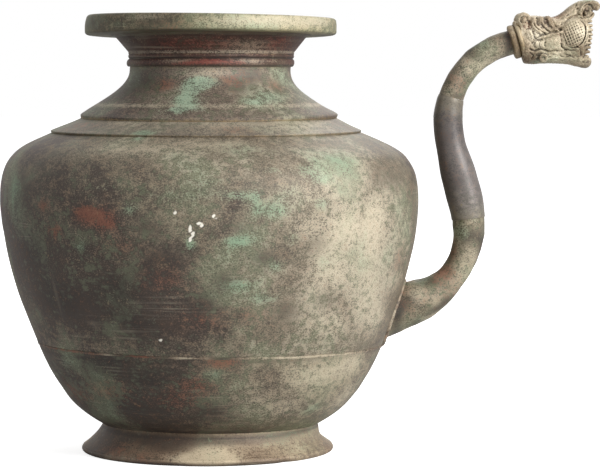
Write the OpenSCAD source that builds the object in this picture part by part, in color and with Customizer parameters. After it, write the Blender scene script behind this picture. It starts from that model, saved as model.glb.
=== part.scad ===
// Kamandal: a spouted water pot of brass, raised and cast in pieces that are brazed together.
// It stands on its foot. Z is the pot's axis, the spout leaves towards +X, and sizes are in
// millimetres. Heights build on each other from the ground up, and the spout starts from the
// pot's wall, so that a change of one size carries the pieces above it along.

/* [Foot] */
// Height of the foot, from the ground to the crease under the bowl
foot_h = 16; // [13:0.5:22]
// Radius of the foot's spread lip
foot_lip_r = 75.4; // [70:0.2:82]
// Radius of the crease where the bowl sits in the foot
foot_crease_r = 63.2; // [58:0.2:67]
// Thickness of the cast foot
foot_wall = 3.4; // [2.6:0.1:4.5]
// Width of the land in the foot that carries the bowl
foot_land = 5; // [3:0.5:8]

/* [Bowl and body] */
// Thickness of the raised bowl and body
wall = 2.4; // [1.8:0.1:3.2]
// Height of the bowl's lowest point over the ground
bowl_clear = 6; // [4:0.5:9]
// Rise of the bowl, from the crease to the belly seam
bowl_rise = 48; // [42:0.5:56]
// Radius at the belly seam
seam_r = 103; // [98:0.5:108]
// Rise from the belly seam to the widest point
belly_rise = 86; // [78:0.5:96]
// Radius at the widest point
belly_r = 124.8; // [119:0.2:131]
// Rise from the widest point to the foot of the shoulder cone
shoulder_rise = 39; // [35:0.5:44]
// Radius at the foot of the shoulder cone
shoulder_r = 96.8; // [95:0.2:101]
// Slope of the shoulder cone
shoulder_slope = 24; // [21:0.5:26]
// Length of the tongue that laps inside the belly seam
seam_lap = 7; // [4:0.5:11]
// Width of the brazing metal in the belly seam
seam_gap = 1.4; // [0.8:0.1:2.2]

/* [Shoulder and neck] */
// Radius of the opening in the shoulder
throat_r = 67; // [64:0.2:69]
// Outer radius of the flat collar on the shoulder
collar_r = 93.2; // [88:0.2:94.6]
// Thickness of the flat collar
collar_t = 1.3; // [0.9:0.1:1.9]
// Outer radius of the neck's spread flange
flange_r = 77.4; // [75:0.2:80]
// Height of the flange's edge
flange_edge = 2.6; // [2:0.1:3.4]
// Thickness of the cast neck and mouth
neck_wall = 2.6; // [2:0.1:3.2]
// Rise from the flange's edge to the neck's waist
neck_rise = 25.8; // [23:0.2:30]
// Radius of the neck's waist
waist_r = 48; // [45:0.2:50]
// Height of the straight stretch of neck over the waist
waist_h = 6; // [5:0.5:9]
// Radial swell of the moulded band on the neck
band_swell = 1.8; // [1.2:0.1:2.4]
// Height of the moulded band
band_h = 7.2; // [6:0.2:9]
// Length of the mouth's spigot in the neck
spigot_h = 4; // [2.5:0.5:5]
// Rise of the flared mouth, from the band to the rim
mouth_rise = 12; // [9.6:0.2:15]
// Radius of the flared mouth where it meets the rim
mouth_flare_r = 58; // [55:0.2:61]

/* [Rim] */
// Outer radius of the rim
rim_r = 75.2; // [70:0.2:82]
// Height of the rim
rim_h = 11.2; // [9:0.2:15]
// Radius of the rim's bore, the mouth of the pot
mouth_r = 55.6; // [53:0.2:57]
// Depth that the mouth's top edge sits in the rim
rim_seat = 2.6; // [1.5:0.1:4]
// Rounding of the rim's edges
rim_round = 1.4; // [0.6:0.1:2]

/* [Spout] */
// Height of the spout's axis over the belly seam, at the wall
root_lift = 20; // [19:0.1:24]
// Rise of the spout's axis where it leaves the wall, in degrees
root_rise = 21.5; // [18:0.5:25]
// Radius of the spout's root on its axis, at the wall
root_r = 13.6; // [12:0.1:14.4]
// Length of the straight root
root_run = 16.4; // [15:0.1:20]
// Length of the elbow's bend
elbow_run = 59.3; // [55:0.1:64]
// Radius at the elbow's narrowest point
elbow_r = 8.3; // [7.6:0.1:9]
// Radius of the elbow's upper end
elbow_end_r = 9.6; // [9.2:0.1:9.9]
// Lean of the shaft, in degrees from the horizontal
shaft_lean = 105; // [101:0.5:108]
// Length of the shaft's straight stretch
shaft_run = 27.4; // [22:0.2:34]
// Radius of the shaft's swollen grip
grip_r = 10.8; // [10.3:0.1:11.4]
// Radius of the shaft under its upper end
shaft_neck_r = 8.9; // [8.5:0.1:9.4]
// Radius of the shaft's upper end, drawn in to the crook
shaft_top_r = 8; // [7.8:0.1:8.4]
// Length of the crook's bend
crook_run = 62; // [58:0.2:66]
// Radius of the crook
crook_r = 7.3; // [6.9:0.1:7.7]
// Rise of the crook where it enters the head, in degrees
crook_end = 16; // [12:0.5:20]
// Length of the crook's straight end, up to the ferrule
crook_tail = 4.1; // [2:0.1:8]
// Thickness of the spout's wall
spout_wall = 2; // [1.6:0.1:2.4]
// Length that each stretch of spout slips into the next
socket_l = 7; // [4:0.5:10]
// Height of the brazing bead round the root
bead_h = 1.4; // [0.9:0.1:2.2]
// Width of the brazing bead round the root
bead_w = 2.6; // [1.8:0.1:3.4]

/* [Head] */
// Radius of the ferrule behind the head
ferrule_r = 10.2; // [9.6:0.1:11]
// Length of the ferrule
ferrule_l = 3.9; // [3:0.1:4.6]
// Radius of the ring at the back of the head
head_ring_r = 11.9; // [11.4:0.1:12.3]
// Length of the ring at the back of the head
head_ring_l = 2.6; // [2:0.1:3.4]
// Depth of the socket that takes the crook
head_socket = 9; // [6:0.5:11]
// Half width of the jaws at the mouth
jaw_half_w = 12.4; // [11.4:0.1:13.4]
// Radius of the water way through the head
outlet_r = 5.4; // [4.6:0.1:5.6]
// Number of teeth on each side of the mouth
tooth_count = 9; // [7:1:11]

/* [Fits] */
// Gap left for brazing metal between two seated pieces
fit = 0.12; // [0.08:0.01:0.2]

/* [Hidden] */

turn_fn = 120;        // facets of a turned piece on screen
curve_steps = 12;     // steps along each bend of the outline
sides = 32;           // sides of the spout
brown = "#5d5143";
olive = "#7c7660";
buff = "#b3a387";
red_bronze = "#6e4436";
grey_bronze = "#5c5652";
verdigris = "#6f8f7c";

// ---------------------------------------------------------------- outline of the pot
// A bend runs from p0 to p1, leaves at angle a0 and arrives at angle a1; k0 and k1 are the
// lengths of its handles, as shares of the distance.
function bend(p0, a0, p1, a1, k0 = 0.36, k1 = 0.36) =
    let (reach = norm(p1 - p0))
    [p0, p0 + k0 * reach * [cos(a0), sin(a0)], p1 - k1 * reach * [cos(a1), sin(a1)], p1];

function on_bend(b, t) =
    let (u = 1 - t)
    u * u * u * b[0] + 3 * u * u * t * b[1] + 3 * u * t * t * b[2] + t * t * t * b[3];

// Unit normal, to the right of the direction of travel, which is the outside of the pot.
function bend_normal(b, t) =
    let (u = 1 - t,
         d = u * u * (b[1] - b[0]) + 2 * u * t * (b[2] - b[1]) + t * t * (b[3] - b[2]))
    [d[1], -d[0]] / norm(d);

function inset(b, t, depth) =
    let (p = on_bend(b, t) - depth * bend_normal(b, t))
    [max(0, p[0]), p[1]];

// Points along spans of bends, each [bend, from, to], at a depth under the outer surface.
function traced(spans, depth) =
    concat([inset(spans[0][0], spans[0][1], depth)],
           [for (s = spans, i = [1:curve_steps])
               inset(s[0], s[1] + (s[2] - s[1]) * i / curve_steps, depth)]);

function reversed(list) = [for (i = [len(list) - 1:-1:0]) list[i]];

function smooth_mix(a, b, t) = a + (b - a) * t * t * (3 - 2 * t);

seam_z = foot_h + bowl_rise;
belly_z = seam_z + belly_rise;
shoulder_z = belly_z + shoulder_rise;
crease = [foot_crease_r, foot_h];
seam = [seam_r, seam_z];
shoulder_foot = [shoulder_r, shoulder_z];

function shoulder_line(r) = shoulder_z + tan(shoulder_slope) * (shoulder_r - r);

floor_bend = bend([0, bowl_clear], 0, crease, 28);
bowl_bend = bend(crease, 28, seam, 67, 0.3, 0.42);
belly_bend = bend(seam, 67, [belly_r, belly_z], 90, 0.3, 0.36);
shoulder_bend = bend([belly_r, belly_z], 90, shoulder_foot, 180 - shoulder_slope, 0.58, 0.4);
shoulder_cone = bend(shoulder_foot, 180 - shoulder_slope,
                     [throat_r, shoulder_line(throat_r)], 180 - shoulder_slope);

lap_share = seam_lap / norm(belly_bend[3] - belly_bend[0]);
gap_share = seam_gap / norm(belly_bend[3] - belly_bend[0]);
half_wall = wall / 2;

pot_outline = traced([[floor_bend, 0, 1], [bowl_bend, 0, 1], [belly_bend, 0, 1],
                      [shoulder_bend, 0, 1]], 0);
pot_table = [for (p = pot_outline) [p[1], p[0]]];

// Outer radius of the pot at a height under the shoulder cone.
function pot_r(z) = lookup(z, pot_table);

module turned(points) rotate_extrude($fn = turn_fn) polygon(points);

// A stretch of wall between two depths under the pot's outer surface.
module shell(spans, outer, inner) turned(concat(traced(spans, outer), reversed(traced(spans, inner))));

// ---------------------------------------------------------------- foot and bowl
land_share = foot_land / foot_crease_r;
foot_flare = bend([foot_crease_r + 0.4, foot_h + 0.2], -64, [foot_lip_r - 0.6, 3.4], -36, 0.4, 0.3);
lip_round = 1.8;

module foot_ring() color(buff) {
    land = traced([[floor_bend, 1 - land_share, 1]], -fit);
    flare = [for (i = [0:curve_steps]) on_bend(foot_flare, i / curve_steps)];
    lip = [for (a = [50:-20:-90]) [foot_lip_r - lip_round, lip_round] + lip_round * [cos(a), sin(a)]];
    inside = [for (i = [curve_steps:-1:3])
        on_bend(foot_flare, i / curve_steps) - foot_wall * bend_normal(foot_flare, i / curve_steps) * -1];
    turned(concat(land, flare, lip, [[foot_lip_r - lip_round - foot_wall * 0.7, 0]], inside));
}

module foot_braze() color(verdigris) {
    corner = inset(floor_bend, 1 - land_share, -fit);
    leg = 2.6;
    down = corner + [-fit, -leg];
    back = inset(floor_bend, 1 - land_share - leg / foot_crease_r, -fit);
    turned([corner - [fit, 0], down, back]);
}

// The bowl ends in a tongue of half the wall, which laps inside the upper body.
module lower_bowl() color(brown) difference() {
    outside = concat(traced([[floor_bend, 0, 1], [bowl_bend, 0, 1]], 0),
                     traced([[belly_bend, 0, lap_share]], half_wall + fit / 2));
    inside = traced([[floor_bend, 0, 1], [bowl_bend, 0, 1], [belly_bend, 0, lap_share * 1.2]], wall);
    turned(concat(outside, [[0, outside[len(outside) - 1][1]]]));
    turned(concat(inside, [[0, inside[len(inside) - 1][1]]]));
}

module belly_braze() color(buff)
    shell([[belly_bend, gap_share * 0.08, gap_share * 0.92]], 0, half_wall);

// ---------------------------------------------------------------- upper body and shoulder
module upper_body() color(olive) difference() {
    lap_end = lap_share + fit / belly_rise;
    turned(concat(traced([[belly_bend, gap_share, 1], [shoulder_bend, 0, 1], [shoulder_cone, 0, 1]], 0),
                  reversed(traced([[belly_bend, lap_end, 1], [shoulder_bend, 0, 1], [shoulder_cone, 0, 1]], wall)),
                  reversed(traced([[belly_bend, gap_share, lap_end]], half_wall - fit / 2))));
    root_frame(-2 * root_bore_r) cylinder(r = root_bore_r, h = 4 * root_bore_r, $fn = 64);
}

module shoulder_collar() color(brown) {
    start = (shoulder_r - collar_r) / (shoulder_r - throat_r);
    shell([[shoulder_cone, start, 1]], -fit - collar_t, -fit);
}

// ---------------------------------------------------------------- neck, mouth and rim
collar_top = 2 * fit + collar_t;
flange_z = shoulder_line(flange_r) + collar_top / cos(shoulder_slope) + flange_edge;
waist_z = flange_z + neck_rise;
neck_top_z = waist_z + waist_h;
neck_bend = bend([flange_r - 0.6, flange_z], 146, [waist_r, waist_z], 90, 0.34, 0.27);
band_z = waist_z + waist_h / 3;
mouth_z = band_z + band_h;
rim_z = mouth_z + mouth_rise;
mouth_lean = atan2(mouth_rise - 1.4, mouth_flare_r - waist_r - 1.4);
funnel_wall = neck_wall / sin(mouth_lean);

module neck() color(olive) {
    under = [[throat_r + 0.6, shoulder_line(throat_r + 0.6) + collar_top / cos(shoulder_slope)],
             [flange_r, flange_z - flange_edge], [flange_r, flange_z - 0.5]];
    outside = traced([[neck_bend, 0, 1]], 0);
    inside = traced([[neck_bend, 0.3, 1]], neck_wall);
    socket_r = waist_r - neck_wall / 2 + fit / 2;
    top = [[waist_r, neck_top_z], [socket_r, neck_top_z], [socket_r, neck_top_z - spigot_h - fit],
           [waist_r - neck_wall, neck_top_z - spigot_h - fit]];
    turned(concat(under, outside, top, reversed(inside)));
}

// The moulding: a half-round with a small fillet over it, slipped over the joint of the neck.
module neck_band() color(red_bronze) {
    roll_h = band_h * 0.68;
    bore = waist_r + fit;
    roll = [for (a = [-90:15:90]) [bore + 0.4, band_z + roll_h / 2]
        + [(band_swell - 0.4) * cos(a), roll_h / 2 * sin(a)]];
    fillet_z = band_z + roll_h;
    fillet = [[bore + 0.5, fillet_z], [bore + band_swell * 0.7, fillet_z + 0.5],
              [bore + band_swell * 0.7, mouth_z - fit], [bore, mouth_z - fit]];
    turned(concat([[bore, band_z]], roll, fillet));
}

module mouth_funnel() color(red_bronze) {
    base_r = waist_r + 1.4;
    top_z = rim_z + rim_seat - fit;
    flare_r = mouth_flare_r + (rim_seat - fit) / tan(mouth_lean);
    spigot_r = waist_r - neck_wall / 2 - fit / 2;
    spigot_z = neck_top_z - spigot_h;
    bore = waist_r - neck_wall;
    turned([[bore, spigot_z], [spigot_r, spigot_z], [spigot_r, neck_top_z + fit],
            [waist_r, neck_top_z + fit], [waist_r, mouth_z], [base_r, mouth_z],
            [base_r, mouth_z + 1.4], [flare_r, top_z], [flare_r - funnel_wall, top_z],
            [base_r - funnel_wall, mouth_z + 1.4], [bore, mouth_z]]);
}

module rim_braze() color(verdigris) {
    leg = 2;
    top = [mouth_flare_r + fit * 1.5, rim_z - fit];
    foot = top - leg * [cos(mouth_lean), sin(mouth_lean)];
    turned([top, foot, top + [leg, 0]]);
}

function rim_corner(r, z, a0) = [for (a = [a0:18:a0 + 90]) [r, z] + rim_round * [cos(a), sin(a)]];

module rim_ring() color(buff) {
    top_z = rim_z + rim_h;
    seat_r = mouth_flare_r + fit * 1.5;
    seat_top_r = seat_r + rim_seat / tan(mouth_lean);
    turned(concat([[seat_top_r, rim_z + rim_seat], [seat_r, rim_z]],
                  rim_corner(rim_r - rim_round, rim_z + rim_round, -90),
                  rim_corner(rim_r - rim_round, top_z - rim_round, 0),
                  rim_corner(mouth_r + rim_round, top_z - rim_round, 90),
                  [[mouth_r, rim_z + rim_seat]]));
}

// ---------------------------------------------------------------- course of the spout
// The spout's axis lies in the plane Y = 0. Each leg is [length, heading at its end], and a leg
// whose two headings differ is an arc. Lengths s are measured along the axis from the wall.
sway_run = 15.9;
straighten_run = 17.3;
upright = 92.7;
legs = [[root_run, root_rise], [elbow_run, 95], [sway_run, shaft_lean], [shaft_run, shaft_lean],
        [straighten_run, upright], [crook_run, crook_end],
        [crook_tail + head_socket + 20, crook_end]];
root_z = seam_z + root_lift;
root_x = pot_r(root_z);

function leg_heading(i) = i == 0 ? root_rise : legs[i - 1][1];
function leg_begin(i) = i == 0 ? 0 : leg_begin(i - 1) + legs[i - 1][0];
function leg_origin(i) = i == 0 ? [root_x, root_z] : leg_point(i - 1, legs[i - 1][0]);
function leg_point(i, u) =
    let (a0 = leg_heading(i), run = legs[i][0], turn = legs[i][1] - a0, a = a0 + turn * u / run)
    leg_origin(i) + (abs(turn) < 0.01 ? u * [cos(a0), sin(a0)]
        : run / (turn * PI / 180) * [sin(a) - sin(a0), cos(a0) - cos(a)]);
function leg_of(s) = max(0, len([for (i = [0:len(legs) - 1]) if (leg_begin(i) <= s) i]) - 1);
function spout_at(s) = let (i = leg_of(s)) leg_point(i, s - leg_begin(i));
function spout_heading(s) =
    let (i = leg_of(s), a0 = leg_heading(i))
    a0 + (legs[i][1] - a0) * (s - leg_begin(i)) / legs[i][0];

low_joint = leg_begin(2) + 2;
high_joint = leg_begin(5) + 15.6;
ferrule_s = leg_begin(6) + crook_tail;
head_s = ferrule_s + ferrule_l + fit;

// The shaft's ends stand out by a small step over the stretches that slip into them.
end_step = 0.5;
// Outer radius of the spout along its axis: eased between the radii at a few places.
elbow_radii = [[-root_run, root_r + 1.1], [root_run / 2, root_r - 0.2],
               [root_run + elbow_run * 0.46, elbow_r], [low_joint, elbow_end_r]];
shaft_radii = [[low_joint, elbow_end_r + end_step], [low_joint + 14, grip_r],
               [low_joint + 26, grip_r - 0.2], [high_joint - 27, shaft_neck_r],
               [high_joint - 13, shaft_neck_r - 0.1], [high_joint, shaft_top_r]];
crook_radii = [[high_joint, shaft_top_r - end_step], [high_joint + 14, crook_r], [head_s + 99, crook_r]];

function eased(s, table, i = 0) =
    s <= table[0][0] ? table[0][1]
    : i >= len(table) - 1 ? table[i][1]
    : s > table[i + 1][0] ? eased(s, table, i + 1)
    : smooth_mix(table[i][1], table[i + 1][1],
                 (s - table[i][0]) / (table[i + 1][0] - table[i][0]));

// Point at length s, at radius r round the axis and at angle a from the upper side.
function round_axis(s, r, a) =
    let (c = spout_at(s), h = spout_heading(s))
    [c[0] - r * cos(a) * sin(h), r * sin(a), c[1] + r * cos(a) * cos(h)];
function ring(s, r) = [for (k = [0:sides - 1]) round_axis(s, r, 360 * k / sides)];

// The length s at which the root's surface, sunk by depth, comes to the pot's wall raised by
// lift, at angle a: the bracket is halved until it is far finer than a facet.
function wall_gap(s, depth, a, lift) =
    let (p = round_axis(s, eased(s, elbow_radii) - depth, a))
    norm([p[0], p[1]]) - pot_r(p[2] + lift / 3) - lift;
function meets_wall(depth, a, lift, low = -24, high = 24, rounds = 16) =
    let (mid = (low + high) / 2)
    rounds == 0 ? mid
    : wall_gap(mid, depth, a, lift) > 0 ? meets_wall(depth, a, lift, low, mid, rounds - 1)
    : meets_wall(depth, a, lift, mid, high, rounds - 1);
// A ring of the root: share 0 lies on the wall, share 1 square across the axis where the
// saddle ends.
function root_ring(depth, share, lift) =
    [for (k = [0:sides - 1])
        let (a = 360 * k / sides, start = meets_wall(depth, a, lift),
             s = start + (root_run - start) * share)
        round_axis(s, eased(s, elbow_radii) - depth, a)];

// A closed loop of rings, the last joined to the first: outwards along one surface, and back.
module looped(rings) {
    count = len(rings[0]);
    total = len(rings);
    points = [for (r = rings, p = r) p];
    faces = [for (j = [0:total - 1], k = [0:count - 1])
        let (a = j * count + k, b = j * count + (k + 1) % count,
             c = ((j + 1) % total) * count + k, d = ((j + 1) % total) * count + (k + 1) % count)
        each [[a, b, d], [a, d, c]]];
    polyhedron(points, faces, convexity = 6);
}

function run_of(from, to, step) =
    let (n = max(1, ceil((to - from) / step))) [for (i = [0:n]) from + (to - from) * i / n];
function skin(from, to, table, depth, step = 3.4) =
    [for (s = run_of(from, to, step)) ring(s, eased(s, table) - depth)];

root_bore_r = elbow_r + 0.2;

module root_frame(back = 0)
    translate([root_x + back * cos(root_rise), 0, root_z + back * sin(root_rise)])
    rotate([0, 90 - root_rise, 0]) children();

// ---------------------------------------------------------------- stretches of the spout
module spout_elbow() color(olive) {
    shares = [0, 0.25, 0.5, 0.75];
    outside = [for (u = shares) root_ring(0, u, fit)];
    inside = [for (u = shares) root_ring(spout_wall, u, fit)];
    spigot_r = shaft_radii[0][1] - spout_wall / 2 - 2 * fit;
    looped(concat(outside, skin(root_run, low_joint, elbow_radii, 0),
                  [ring(low_joint, spigot_r), ring(low_joint + socket_l - fit, spigot_r),
                   ring(low_joint + socket_l - fit, elbow_end_r - spout_wall)],
                  reversed(skin(root_run, low_joint, elbow_radii, spout_wall)),
                  reversed(inside)));
}

module spout_shaft() color(grey_bronze) {
    start = low_joint + fit;
    stop = high_joint - fit;
    low_socket = shaft_radii[0][1] - spout_wall / 2;
    high_socket = shaft_top_r - spout_wall / 2;
    looped(concat(skin(start, stop, shaft_radii, 0),
                  [ring(stop, high_socket), ring(stop - socket_l, high_socket)],
                  reversed(skin(start + socket_l, stop - socket_l, shaft_radii, spout_wall)),
                  [ring(start + socket_l, low_socket), ring(start, low_socket)]));
}

module spout_crook() color(olive) {
    spigot_r = shaft_top_r - spout_wall / 2 - 2 * fit;
    spigot_s = high_joint - socket_l + fit;
    finish = head_s + head_socket;
    looped(concat([ring(spigot_s, spigot_r), ring(high_joint, spigot_r)],
                  skin(high_joint, finish, crook_radii, 0),
                  reversed(skin(high_joint, finish, crook_radii, spout_wall)),
                  [ring(spigot_s, crook_radii[0][1] - spout_wall)]));
}

module spout_braze() color(red_bronze) {
    inner = -fit * 1.5;
    looped([root_ring(inner, 0, fit), root_ring(inner, 0, bead_h),
            root_ring(inner - bead_w * 0.4, 0, bead_h * 0.8), root_ring(inner - bead_w * 0.8, 0, bead_h * 0.4),
            root_ring(inner - bead_w, 0, fit)]);
}

// ---------------------------------------------------------------- ferrule and head
module along_spout(s) {
    c = spout_at(s);
    translate([c[0], 0, c[1]]) rotate([0, 90 - spout_heading(s), 0]) children();
}

module spout_ferrule() color(buff) along_spout(ferrule_s) {
    bore = crook_r + fit;
    turned([[bore, 0], [ferrule_r - 0.9, 0], [ferrule_r, 0.9], [ferrule_r, ferrule_l - 0.9],
            [ferrule_r - 0.9, ferrule_l], [bore, ferrule_l]]);
}

// The head is drawn in its own frame: X forward to the mouth, Z up, and its origin where the
// spout's axis passes the back of the head's ring.
module head_frame() {
    c = spout_at(head_s);
    translate([c[0], 0, c[1]]) children();
}

module ball(x, y, z, r, stretch = [1, 1, 1]) translate([x, y, z]) scale(stretch) sphere(r = r, $fn = 16);
module oval_slab(x, z, half_h, half_w, thick)
    translate([x, 0, z]) rotate([0, 90, 0]) linear_extrude(thick) scale([half_h, half_w]) circle(1, $fn = 32);
// A tapering roll through a list of [x, y, z, radius].
module roll(stations) for (i = [0:len(stations) - 2]) hull() {
    a = stations[i];
    b = stations[i + 1];
    ball(a[0], a[1], a[2], a[3]);
    ball(b[0], b[1], b[2], b[3]);
}
module both_sides() {
    children();
    mirror([0, 1, 0]) children();
}

mouth_x = 41;
mouth_mid = 1.6;
mouth_half_h = 12.6;

// Skull: an oval drum from the ring to the lips, flattened on top, with two bosses at its back.
module skull() {
    hull() {
        oval_slab(-1, 1.2, 12.6, jaw_half_w - 1.6, 1);
        oval_slab(23, 0.8, 14, jaw_half_w - 1.2, 1);
    }
    hull() {
        oval_slab(22.5, 0.8, 13.8, jaw_half_w - 1.2, 1);
        oval_slab(mouth_x - 1.8, mouth_mid, mouth_half_h, jaw_half_w, 1.8);
    }
    hull() both_sides() {
        ball(1.4, 6.4, 12.6, 3.9);
        ball(19, 5.2, 11.8, 3.4);
    }
}

// The upper lip runs up into a trunk that curls over forwards, hollow under the curl.
module trunk() roll([[17, 0, 8, 6.2], [27.8, 0, 10.4, 6.2], [31.8, 0, 15, 5.4], [36.6, 0, 19, 4.9],
                     [41.5, 0, 21.1, 3.3], [45.4, 0, 21.4, 2.8], [47, 0, 20.2, 2.4]]);

module nostril_curls() both_sides() roll([[40.6, 3.2, 19.8, 2.4], [37, 4.4, 18, 2.4],
                                          [36.6, 4.8, 14.4, 2.2], [40, 4.6, 12.6, 2], [43.4, 3.8, 14.4, 1.8]]);

module lower_jaw() roll([[9, 0, -8.8, 4.9], [28, 0, -8.6, 4.6], [36, 0, -10.6, 4], [40.6, 0, -12.9, 2.9]]);

module cheek_pads() both_sides()
    translate([32, jaw_half_w - 2.4, 4]) rotate([0, 14, 0]) scale([6.6, 3.4, 9.8]) sphere(1, $fn = 24);

// Teeth stand round both sides of the mouth like the staves of a tub, evenly spaced in height.
module teeth() both_sides() for (i = [0:tooth_count - 1]) {
    up = 0.8 - 1.64 * i / (tooth_count - 1);
    reach = mouth_x + 3.4 - 2.6 * max(0, 0.15 - up);
    translate([mouth_x - 3, (jaw_half_w - 1.5) * sqrt(1 - up * up), mouth_mid + (mouth_half_h - 0.6) * up])
        rotate([0, 90, 0]) cylinder(r1 = 1.3, r2 = 0.9, h = reach - mouth_x + 3, $fn = 10);
}

// Three leaves sweep down from the crown to the brow, over the eye, with an ear and a rosette.
module mane() both_sides() {
    for (leaf = [[7.3, 15, 9.5, 9.2, 16, 4.2], [12.4, 14.6, 14, 9.2, 20.4, 5.2], [18.5, 13.8, 20.9, 9.2, 24.4, 6.2]])
        roll([[leaf[0], 6, leaf[1] - 1, 1.4], [leaf[2], jaw_half_w - 2.6, leaf[3], 2],
              [leaf[4], jaw_half_w - 1.4, leaf[5], 1]]);
    roll([[7.7, jaw_half_w - 1.8, -0.4, 1.1], [15, jaw_half_w - 1.4, 2.6, 1.4], [25, jaw_half_w - 1.2, 5.4, 1.2]]);
    ball(12.9, jaw_half_w - 2, -2.2, 2.3, [1.3, 1, 1]);
    ball(14.5, jaw_half_w - 4.2, -10.2, 3);
}

module water_way() {
    rotate([0, 90 - crook_end, 0]) {
        translate([0, 0, -6]) cylinder(r = crook_r + fit, h = 6 + head_socket + fit, $fn = 64);
        cylinder(r = outlet_r, h = head_socket + 8, $fn = 40);
    }
    hull() {
        oval_slab(mouth_x, mouth_mid, mouth_half_h - 2.6, jaw_half_w - 3, 6);
        oval_slab(mouth_x - 14, 3.4, outlet_r + 0.8, outlet_r + 0.8, 1);
    }
    translate([head_socket, 0, 2.6]) rotate([0, 87, 0]) cylinder(r = outlet_r, h = mouth_x - head_socket, $fn = 40);
}

module makara_head() color(buff) head_frame() difference() {
    union() {
        skull();
        trunk();
        nostril_curls();
        lower_jaw();
        cheek_pads();
        teeth();
        mane();
        rotate([0, 90 - crook_end, 0]) cylinder(r = head_ring_r, h = head_ring_l, $fn = 48);
    }
    water_way();
    rotate([0, 90 - crook_end, 0]) translate([0, 0, -20]) cylinder(r = 40, h = 20, $fn = 32);
}

foot_ring();
foot_braze();
lower_bowl();
belly_braze();
upper_body();
shoulder_collar();
neck();
neck_band();
mouth_funnel();
rim_braze();
rim_ring();
spout_braze();
spout_elbow();
spout_shaft();
spout_crook();
spout_ferrule();
makara_head();
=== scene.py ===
import bpy
import bmesh
import math
import numpy as np
from mathutils import Matrix, Vector, noise


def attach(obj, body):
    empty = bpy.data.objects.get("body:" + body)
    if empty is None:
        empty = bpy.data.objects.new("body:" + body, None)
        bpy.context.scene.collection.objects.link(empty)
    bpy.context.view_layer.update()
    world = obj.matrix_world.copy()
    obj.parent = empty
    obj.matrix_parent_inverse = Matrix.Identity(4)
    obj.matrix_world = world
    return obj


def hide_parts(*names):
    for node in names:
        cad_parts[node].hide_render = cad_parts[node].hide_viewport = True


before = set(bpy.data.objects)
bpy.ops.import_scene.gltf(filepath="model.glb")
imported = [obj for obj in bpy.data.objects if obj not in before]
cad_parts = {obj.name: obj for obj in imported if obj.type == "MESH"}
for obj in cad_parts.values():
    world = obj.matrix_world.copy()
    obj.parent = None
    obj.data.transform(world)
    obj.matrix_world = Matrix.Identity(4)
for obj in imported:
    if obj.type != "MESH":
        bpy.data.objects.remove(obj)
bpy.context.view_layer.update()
print("frame loaded")

mm = 0.001


# Outlines: cubic bends in millimetres, as the maker's template is drawn.
def bend(start, startAngle, end, endAngle, startPull=0.36, endPull=0.36):
    a, b = Vector(start), Vector(end)
    reach = (b - a).length
    turnA, turnB = math.radians(startAngle), math.radians(endAngle)
    return [a, a + startPull * reach * Vector((math.cos(turnA), math.sin(turnA))),
            b - endPull * reach * Vector((math.cos(turnB), math.sin(turnB))), b]


def onBend(curve, t):
    u = 1 - t
    return u * u * u * curve[0] + 3 * u * u * t * curve[1] + 3 * u * t * t * curve[2] + t * t * t * curve[3]


def inset(curve, t, depth):
    u = 1 - t
    d = u * u * (curve[1] - curve[0]) + 2 * u * t * (curve[2] - curve[1]) + t * t * (curve[3] - curve[2])
    p = onBend(curve, t) - depth * Vector((d.y, -d.x)).normalized()
    return Vector((max(0, p.x), p.y))


def trace(spans, depth=0, step=1.3):
    points = [inset(spans[0][0], spans[0][1], depth)]
    for curve, low, high in spans:
        length = (onBend(curve, high) - onBend(curve, low)).length
        count = max(3, round(length / step))
        points += [inset(curve, low + (high - low) * i / count, depth) for i in range(1, count + 1)]
    return points


def arc(centre, radius, fromAngle, toAngle, count=6):
    return [Vector(centre) + radius * Vector((math.cos(math.radians(a)), math.sin(math.radians(a))))
            for a in [fromAngle + (toAngle - fromAngle) * i / count for i in range(count + 1)]]


def straight(a, b, step=1.3):
    a, b = Vector(a), Vector(b)
    count = max(1, round((b - a).length / step))
    return [a.lerp(b, i / count) for i in range(count + 1)]


def between(table, at):
    if at <= table[0][0]:
        return table[0][1]
    for (a, low), (b, high) in zip(table, table[1:]):
        if at <= b:
            u = (at - a) / (b - a)
            return low + (high - low) * u * u * (3 - 2 * u)
    return table[-1][1]


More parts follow.
